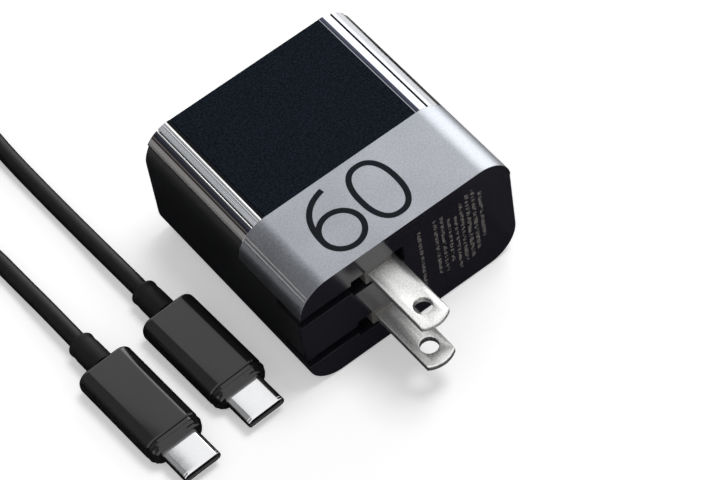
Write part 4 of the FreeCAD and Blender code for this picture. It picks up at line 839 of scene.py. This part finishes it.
strap = {"inner": (10.35, 27.55), "levels": (0.5, 8.2), "sheet": 0.5, "half": 3.0, "corner": 0.9,
         "edge": 0.1, "angle": 115,
         "lap": {"span": (12.5, 24.5), "sheet": 0.45, "setback": 0.25, "sunk": 0.05,
                 "edge": (0.12, 0.1), "corners": (1.2, 1.1)}}


# Turns the strap's points to its side of the coil and moves them to the coil's centre
def strapPlace(points):
    return turned(points, strap["angle"]) + np.array([*cord["coil"]["centre"], 0])


# The band's section, with its four edges broken, is carried round the rectangle. Each row
# has its place across the band and how far it stands out
def buildStrap():
    (near, far), (low, high) = strap["inner"], strap["levels"]
    half = ((far - near) / 2, (high - low) / 2)
    side, sheet, edge = strap["half"], strap["sheet"], strap["edge"]
    section = [(-side, edge), (-side, sheet - edge), (-side + edge, sheet), (side - edge, sheet),
               (side, sheet - edge), (side, edge), (side - edge, 0), (-side + edge, 0)]
    rows = [(level, half[0] + out, half[1] + out, strap["corner"] + out) for level, out in section]
    rings = roundedRings(rows) + np.array([(near + far) / 2, 0, (low + high) / 2])
    points, quads = skinned(rings, True)
    band = addPiece("coil_tie_strap", strapPlace(points), quads, finish(nappedNylon),
                    replaced=["coil_tie"])
    lap = strap["lap"]
    start, stop = lap["span"]
    top = high + sheet
    length, width = (stop - start) / 2, side - lap["setback"]
    aside, down = lap["edge"]
    lower, upper = lap["corners"]
    rows = [(top - lap["sunk"], length, width, lower),
            (top + lap["sheet"] - down, length, width, lower),
            (top + lap["sheet"], length - aside, width - aside, upper)]
    rings = roundedRings(rows)[..., [0, 2, 1]] + np.array([(start + stop) / 2, 0, 0])
    points, quads = skinned(rings)
    end = addPiece("coil_tie_lapped_end", strapPlace(points), quads, finish(nappedNylon))
    return [band, end]


leadPieces = buildPlug("near") + buildPlug("far") + buildStrap()
layCord()
print("lead, plugs and strap laid")


# The body: housing, front cover, cap, panel and bars

roundedCopy("housing_shell", "main_housing", satinPolycarbonate, edge=0.1)
roundedCopy("cover_face", "front_cover", polishedPolycarbonate, edge=0.1)
print("housing and cover stand")

# Angles of the cap, its hairlines and the bars are in degrees from the top, about the
# corner's own centre. Faces whose normal leans forward by more than endFacing are the
# skin's front end
cap = {"edgeAngle": 86.6, "chamfer": 0.03, "perCorner": 40, "endFacing": 0.9}


# The cap's section: from the left edge round the left corner, across the top and round
# the right corner, then back along the skin's inner side. Inset draws in the outer side
def capSection(inset):
    angle = np.radians(np.linspace(0, cap["edgeAngle"], cap["perCorner"]))
    outer = np.full_like(angle, body["cornerRadius"] - inset)
    inner = body["cornerRadius"] - body["skin"]
    x = body["cornerX"] + np.stack([outer * np.sin(angle), inner * np.sin(angle)])
    z = body["cornerZ"] + np.stack([outer * np.cos(angle), inner * np.cos(angle)])
    right = np.stack([x, z], -1)
    left = right[:, ::-1] * [-1, 1]
    outside, inside = np.concatenate([left, right], 1)
    return np.concatenate([outside, inside[::-1]])


# The section carried from front to back, drawn in at both ends by a small chamfer
def buildCap():
    front, back, chamfer = body["front"], body["capBack"], cap["chamfer"]
    rows = [(front, chamfer), (front + chamfer, 0), (back - chamfer, 0), (back, chamfer)]
    rings = np.stack([np.insert(capSection(inset), 1, y, axis=1) for y, inset in rows])
    points, quads = skinned(rings)
    skin = addPiece("cap_skin", points, quads, finish(satinAluminium),
                    replaced=["front_cap"])
    # The skin's front end lies under the face's black coat
    skin.data.materials.append(finish(polishedPolycarbonate))
    normal = np.empty(len(skin.data.polygons) * 3)
    skin.data.polygons.foreach_get("normal", normal)
    skin.data.polygons.foreach_set("material_index", (normal[1::3] < -cap["endFacing"]).astype(int))


hairlines = {"angles": (42.0, 48.0), "radius": 0.075, "proud": 0.03, "setback": 0.2, "sides": 12}


# Two pale hairlines along the left corner, painted highlights: thin rods sunk in the skin's outer side
def drawHairlines():
    reach = body["cornerRadius"] + hairlines["proud"] - hairlines["radius"]
    front, back = body["front"] + hairlines["setback"], body["capBack"] - hairlines["setback"]
    turn = np.linspace(0, 2 * np.pi, hairlines["sides"], endpoint=False)
    for number, direction in enumerate(np.radians(hairlines["angles"])):
        x = -body["cornerX"] - reach * np.sin(direction) + hairlines["radius"] * np.cos(turn)
        z = body["cornerZ"] + reach * np.cos(direction) + hairlines["radius"] * np.sin(turn)
        rings = np.stack([np.stack([x, np.full(len(turn), y), z], -1) for y in (front, back)])
        points, quads = skinned(rings)
        addPiece(f"cap_hairline_{number + 1}", points, quads, finish(paleHairlineHighlight))


panel = {"edge": 0.2, "corner": 0.05, "perCorner": 3}


# A plate between the bars, behind the cap, whose upper edges are broken
def buildPanel():
    halfX, halfY = body["cornerX"], (body["back"] - body["capBack"]) / 2
    edge, corner, top = panel["edge"], panel["corner"], body["top"]
    rows = [(top - body["skin"], halfX, halfY, corner), (top - edge, halfX, halfY, corner),
            (top, halfX - edge, halfY - edge, corner)]
    rings = roundedRings(rows, panel["perCorner"])[..., [0, 2, 1]]
    rings[..., 1] += (body["back"] + body["capBack"]) / 2
    points, quads = skinned(rings)
    addPiece("panel_plate", points, quads, finish(grainedLacquer),
             replaced=["top_panel"])


# Two bars round each top corner. Across a bar, places run from 0 at its upper edge to 1 at
# its lower. Lines are shallow grooves along it: place, depth and half width in millimetres
bars = {
    "groove": {"left": 0.16, "right": 0.48}, "split": 23.5, "edge": 53.0, "across": 120,
    "endChamfers": (0.03, 0.12),          # against the cap, at the back
    "uvUnit": 10.0,                       # along a bar its UV map counts centimetres
    "chamfers": {"left_inner": (0.12, 0.03), "left_outer": (0.15, 0.03),
                 "right_inner": (0.03, 0.04), "right_outer": (0.04, 0.12)},
    # The left inner bar has a milky haze, so that it stays light where it mirrors grey
    "metallic": {"left_inner": 0.78, "left_outer": 1.0, "right_inner": 1.0, "right_outer": 1.0},
    "streaks": {"perWidth": 26.0, "detail": 4.0, "roughness": 0.65, "span": (0.3, 0.7),
                "shades": (0.8, 1.05), "rough": (0.1, 0.22)},
    "lines": {"left_inner": [(0.26, 0.055, 0.13), (0.47, 0.045, 0.09), (0.61, 0.04, 0.08),
                             (0.74, 0.02, 0.06), (0.85, 0.02, 0.06)],
              "left_outer": [(0.24, 0.04, 0.10)],
              "right_inner": [],
              "right_outer": [(0.34, 0.01, 0.08), (0.62, 0.01, 0.08)]},
    # Painted reflections and painted shade across each bar: white for highlights, near black and grey
    # for what it mirrors and for the shade beside the panel
    "tones": {"left_inner": [(0.0, "#05070b"), (0.21, "#05070b"), (0.24, "#ffffff"),
                             (0.43, "#ffffff"), (0.455, "#7f848e"), (0.485, "#7f848e"),
                             (0.51, "#ffffff"), (0.575, "#ffffff"), (0.60, "#868b95"),
                             (0.625, "#868b95"), (0.65, "#f2f6fc"), (0.94, "#fafcff"),
                             (0.97, "#a4a8b1"), (1.0, "#888c95")],
              "left_outer": [(0.0, "#ffffff"), (0.08, "#ffffff"), (0.11, "#3a3c48"),
                             (0.19, "#6c6f7d"), (0.28, "#474956"), (0.36, "#4a4c58"),
                             (0.40, "#a49c98"), (0.45, "#a49c98"), (0.48, "#17181d"),
                             (0.52, "#17181d"), (0.56, "#e6e2df"), (0.76, "#f2efec"),
                             (0.95, "#f6f4f0"), (0.965, "#17181a"), (1.0, "#101113")],
              "right_inner": [(0.0, "#c2c4cc"), (0.045, "#b4b6c0"), (0.08, "#3c3e48"),
                              (0.22, "#383a45"), (0.37, "#2f2e3c"), (0.42, "#b4b6bc"),
                              (0.70, "#b4b6bc"), (1.0, "#b6b8be")],
              "right_outer": [(0.0, "#b4b5ba"), (0.10, "#acadb2"), (0.20, "#a4a5aa"),
                              (0.40, "#a0a0a6"), (0.50, "#d2d3d8"), (0.64, "#c6c8c9"),
                              (0.78, "#cfd2d4"), (0.83, "#b8babf"), (0.85, "#0b0c10"),
                              (1.0, "#0b0c10")]},
}


# Polished aluminium of a bar: long fine streaks, and tones that change from edge to edge.
# The tones are painted reflections and painted shade: white bands are painted highlights,
# dark bands stand for dark surroundings mirrored in the bar and for the shade by the panel.
# Both follow the UV map's second coordinate, which runs across the bar
def streakedBar(which):
    material, shader = newSurface(f"aluminium_with_painted_reflections_{which}", {"Metallic": bars["metallic"][which]})
    streaks = bars["streaks"]
    (low, high), (dark, light), (smooth, rough) = (streaks[key] for key in ("span", "shades", "rough"))
    uv = addNode(material, "UVMap", uv_map="along_across")
    split = addNode(material, "SeparateXYZ", {"Vector": uv.outputs[0]})
    across = addNode(material, "CombineXYZ", {"X": split.outputs["Y"]})
    noise = addNode(material, "TexNoise", {"Vector": across.outputs[0], "Scale": streaks["perWidth"],
                                           "Detail": streaks["detail"],
                                           "Roughness": streaks["roughness"]})
    colour = toneRamp(material, split.outputs["Y"], bars["tones"][which])
    shade = addNode(material, "MapRange", {"Value": noise.outputs["Fac"], "From Min": low,
                                           "From Max": high, "To Min": dark, "To Max": light})
    tone = addNode(material, "Mix", {"Factor": 1.0}, data_type="RGBA", blend_type="MULTIPLY")
    gloss = addNode(material, "MapRange", {"Value": noise.outputs["Fac"], "To Min": smooth,
                                           "To Max": rough})
    link = material.node_tree.links.new
    link(colour, tone.inputs[6])
    link(shade.outputs[0], tone.inputs[7])
    link(tone.outputs[2], shader.inputs["Base Color"])
    link(gloss.outputs[0], shader.inputs["Roughness"])
    return material


# A bar's section in polar form about the corner: the outer radius dips by a bell curve at
# each line and by a 45 degree chamfer at each edge, the inner radius is the skin's
def buildBar(side, place):
    which = f"{side}_{place}"
    hand = -1 if side == "left" else 1
    radius = body["cornerRadius"]
    halfGroove = np.degrees(bars["groove"][side] / 2 / radius)
    start, stop = ((0, bars["split"] - halfGroove) if place == "inner"
                   else (bars["split"] + halfGroove, bars["edge"]))
    across = np.linspace(0, 1, bars["across"])
    angle = np.radians(start + (stop - start) * across)
    width = radius * (angle[-1] - angle[0])
    outer = np.full_like(angle, radius)
    for spot, depth, half in bars["lines"][which]:
        outer -= depth * np.exp(-(((across - spot) * width / half) ** 2))
    first, last = bars["chamfers"][which]
    outer -= np.clip(first - across * width, 0, None) + np.clip(last - (1 - across) * width, 0, None)
    front, rear = bars["endChamfers"]
    ends = [(body["capBack"], front), (body["capBack"] + front, 0), (body["back"] - rear, 0),
            (body["back"], rear)]
    rings = []
    for y, inset in ends:
        both = np.concatenate([np.minimum(outer, radius - inset),
                               np.full(len(angle), radius - body["skin"])])
        turn = np.concatenate([angle, angle[::-1]])
        rings.append(np.stack([hand * (body["cornerX"] + both * np.sin(turn)),
                               np.full(len(turn), y), body["cornerZ"] + both * np.cos(turn)], -1))
    points, quads = skinned(np.stack(rings))
    along = points[:, 1] / bars["uvUnit"]
    spread = np.tile(np.concatenate([across, across[::-1]]), len(ends))
    node = f"{side}_trim_{place}"
    addPiece(f"{node}_bar", points, quads, streakedBar(which), replaced=[node],
             uv=np.stack([along, spread], -1))


buildCap()
drawHairlines()
buildPanel()
for side in ("left", "right"):
    for place in ("inner", "outer"):
        buildBar(side, place)
print("cap, panel and bars set in")


# Plain numerals printed on the cap, and rows of short plain marks on the face

numerals = {"stroke": 1.15, "proud": 0.015, "sunk": 0.03, "stations": 96,
            "six": {"centre": (-8.55, -16.95), "radius": 4.15},
            # The six's arm: its first control point seen from its start, its second, its tip
            "arm": {"leave": (-0.1, 5.2), "arrive": (-10.6, -8.6), "tip": (-6.0, -7.75),
                    "stations": 48, "drop": 0.005},
            "nought": {"centre": (1.75, -14.35), "half": (4.0, 6.55), "bulge": 2.35}}


# A flat stroke along a line in the cap's top: each station has its left and right points,
# half a stroke to the side of the line's own direction
def strokeAlong(line, closed):
    if closed:
        ahead = np.roll(line, -1, 0) - np.roll(line, 1, 0)
    else:
        ahead = np.gradient(line, axis=0)
    ahead = ahead / np.linalg.norm(ahead, axis=1)[:, None]
    aside = np.stack([-ahead[:, 1], ahead[:, 0]], 1) * numerals["stroke"] / 2
    high, low = body["top"] + numerals["proud"], body["top"] - numerals["sunk"]
    corners = [np.column_stack([line + aside * sign, np.full(len(line), level)])
               for sign, level in ((1, high), (-1, high), (-1, low), (1, low))]
    return skinned(np.stack(corners, 1), closed)


# The six is a ring with a curved arm, the nought a tall rounded ring
def printNumerals():
    turn = np.linspace(0, 2 * np.pi, numerals["stations"], endpoint=False)
    circle = np.stack([np.cos(turn), np.sin(turn)], 1)
    six = numerals["six"]
    centre = np.array(six["centre"])
    points, quads = strokeAlong(centre + six["radius"] * circle, True)
    addPiece("numeral_six_ring", points, quads, finish(darkInk))
    # The arm is a cubic curve: it leaves the ring's left side upwards and ends at its tip
    arm = numerals["arm"]
    start = centre + [-six["radius"], 0]
    control = np.array([start, start + arm["leave"], arm["arrive"], arm["tip"]])
    t = np.linspace(0, 1, arm["stations"])[:, None]
    line = ((1 - t) ** 3 * control[0] + 3 * (1 - t) ** 2 * t * control[1]
            + 3 * (1 - t) * t ** 2 * control[2] + t ** 3 * control[3])
    points, quads = strokeAlong(line, False)
    points[:, 2] -= arm["drop"]            # where they meet, the ring lies over the arm
    addPiece("numeral_six_arm", points, quads, finish(darkInk))
    # A rounder box than an ellipse: cosine and sine to the power of 2 / bulge, signs kept
    nought = numerals["nought"]
    wave = np.sign(circle) * np.abs(circle) ** (2 / nought["bulge"])
    points, quads = strokeAlong(np.array(nought["centre"]) + wave * nought["half"], True)
    addPiece("numeral_nought", points, quads, finish(darkInk))


# Each column: place, upper and lower end, half its width
marks = {"columns": [(2.9, 23.6, 5.6, 0.38), (6.5, 23.8, 7.4, 0.36), (8.0, 23.6, 7.0, 0.36),
                     (9.5, 21.6, 8.6, 0.34), (11.0, 21.0, 5.0, 0.34), (12.4, 23.8, 6.0, 0.38),
                     (13.9, 25.0, 6.0, 0.44), (15.3, 25.2, 7.2, 0.44), (16.8, 23.2, 9.6, 0.38)],
         "gap": 0.2, "wordGap": 0.6, "lengths": (0.07, 0.13), "shares": (0.45, 1.0),
         "wordChance": 0.15, "depth": 0.012, "seed": 7,
         "joinChance": 0.3, "joinHalf": 0.06, "joinShares": (0.5, 0.9), "joinDepth": 0.8}


# Down each column stand strokes of random length and share of its width, with a gap after
# each, a wider one now and then, and here and there a thin join to the next
def printMarks():
    chance = np.random.default_rng(marks["seed"])
    centres, halves = [], []
    for x, level, bottom, half in marks["columns"]:
        while level > bottom:
            length, share = chance.uniform(*marks["lengths"]), chance.uniform(*marks["shares"])
            aside = half * (1 - share) * chance.choice([-1, 1])
            centres.append((x + aside, body["front"], level - length / 2))
            halves.append((half * share, marks["depth"], length / 2))
            word = chance.uniform() < marks["wordChance"]
            step = length + (marks["wordGap"] if word else marks["gap"])
            if not word and chance.uniform() < marks["joinChance"]:
                edge = half * chance.uniform(*marks["joinShares"]) * chance.choice([-1, 1])
                centres.append((x + edge, body["front"], level - step / 2 - length / 2))
                halves.append((marks["joinHalf"], marks["depth"] * marks["joinDepth"],
                               (step - length) / 2))
            level -= step
    points, quads = blocks(np.array(centres), np.array(halves))
    addPiece("face_marks", points, quads, finish(paleInk))


printNumerals()
printMarks()
print("numerals and marks printed")


# Blades and what carries them

# The blades' upright sides get a darker finish: a painted reflection of dark surroundings along their
# edges
for level in ("upper", "lower"):
    roundedCopy(f"{level}_blade_plated", f"{level}_blade", platedBrass, edge=0.12, body="blades",
                uprightLook=bladeSidesPaintedDark, even=False)
roundedCopy("carrier_hub", "blade_carrier", greyNylon, edge=0.08, body="blades")
roundedCopy("outlet_shell_plated", "outlet_shell", platedShell, edge=0.04)

outlet = {"padPitch": 0.5, "padCount": 12, "padHalf": (0.13, 1.9, 0.02), "padSetback": 0.9}


# Gold pads in the outlet, a row on either side of its tongue
def goldOnTongue():
    low, high = boxOf("outlet_tongue")
    centres = [(x, high[1] - outlet["padSetback"] - outlet["padHalf"][1], level)
               for level in (low[2], high[2]) for x in padRow(outlet["padCount"], outlet["padPitch"])]
    points, quads = blocks(np.array(centres), outlet["padHalf"])
    addPiece("outlet_gold_pads", points, quads, finish(goldFlash))


goldOnTongue()
print("blades, carrier and outlet in place")

# The nodes inside keep their shape and get the finish of their own material
for name, node in frame["nodes"].items():
    if not node.material_slots:
        node.data.materials.append(None)
    node.material_slots[0].material = finish(slotLooks.get(slotOf[name], blackResin))
print("inner pieces finished")
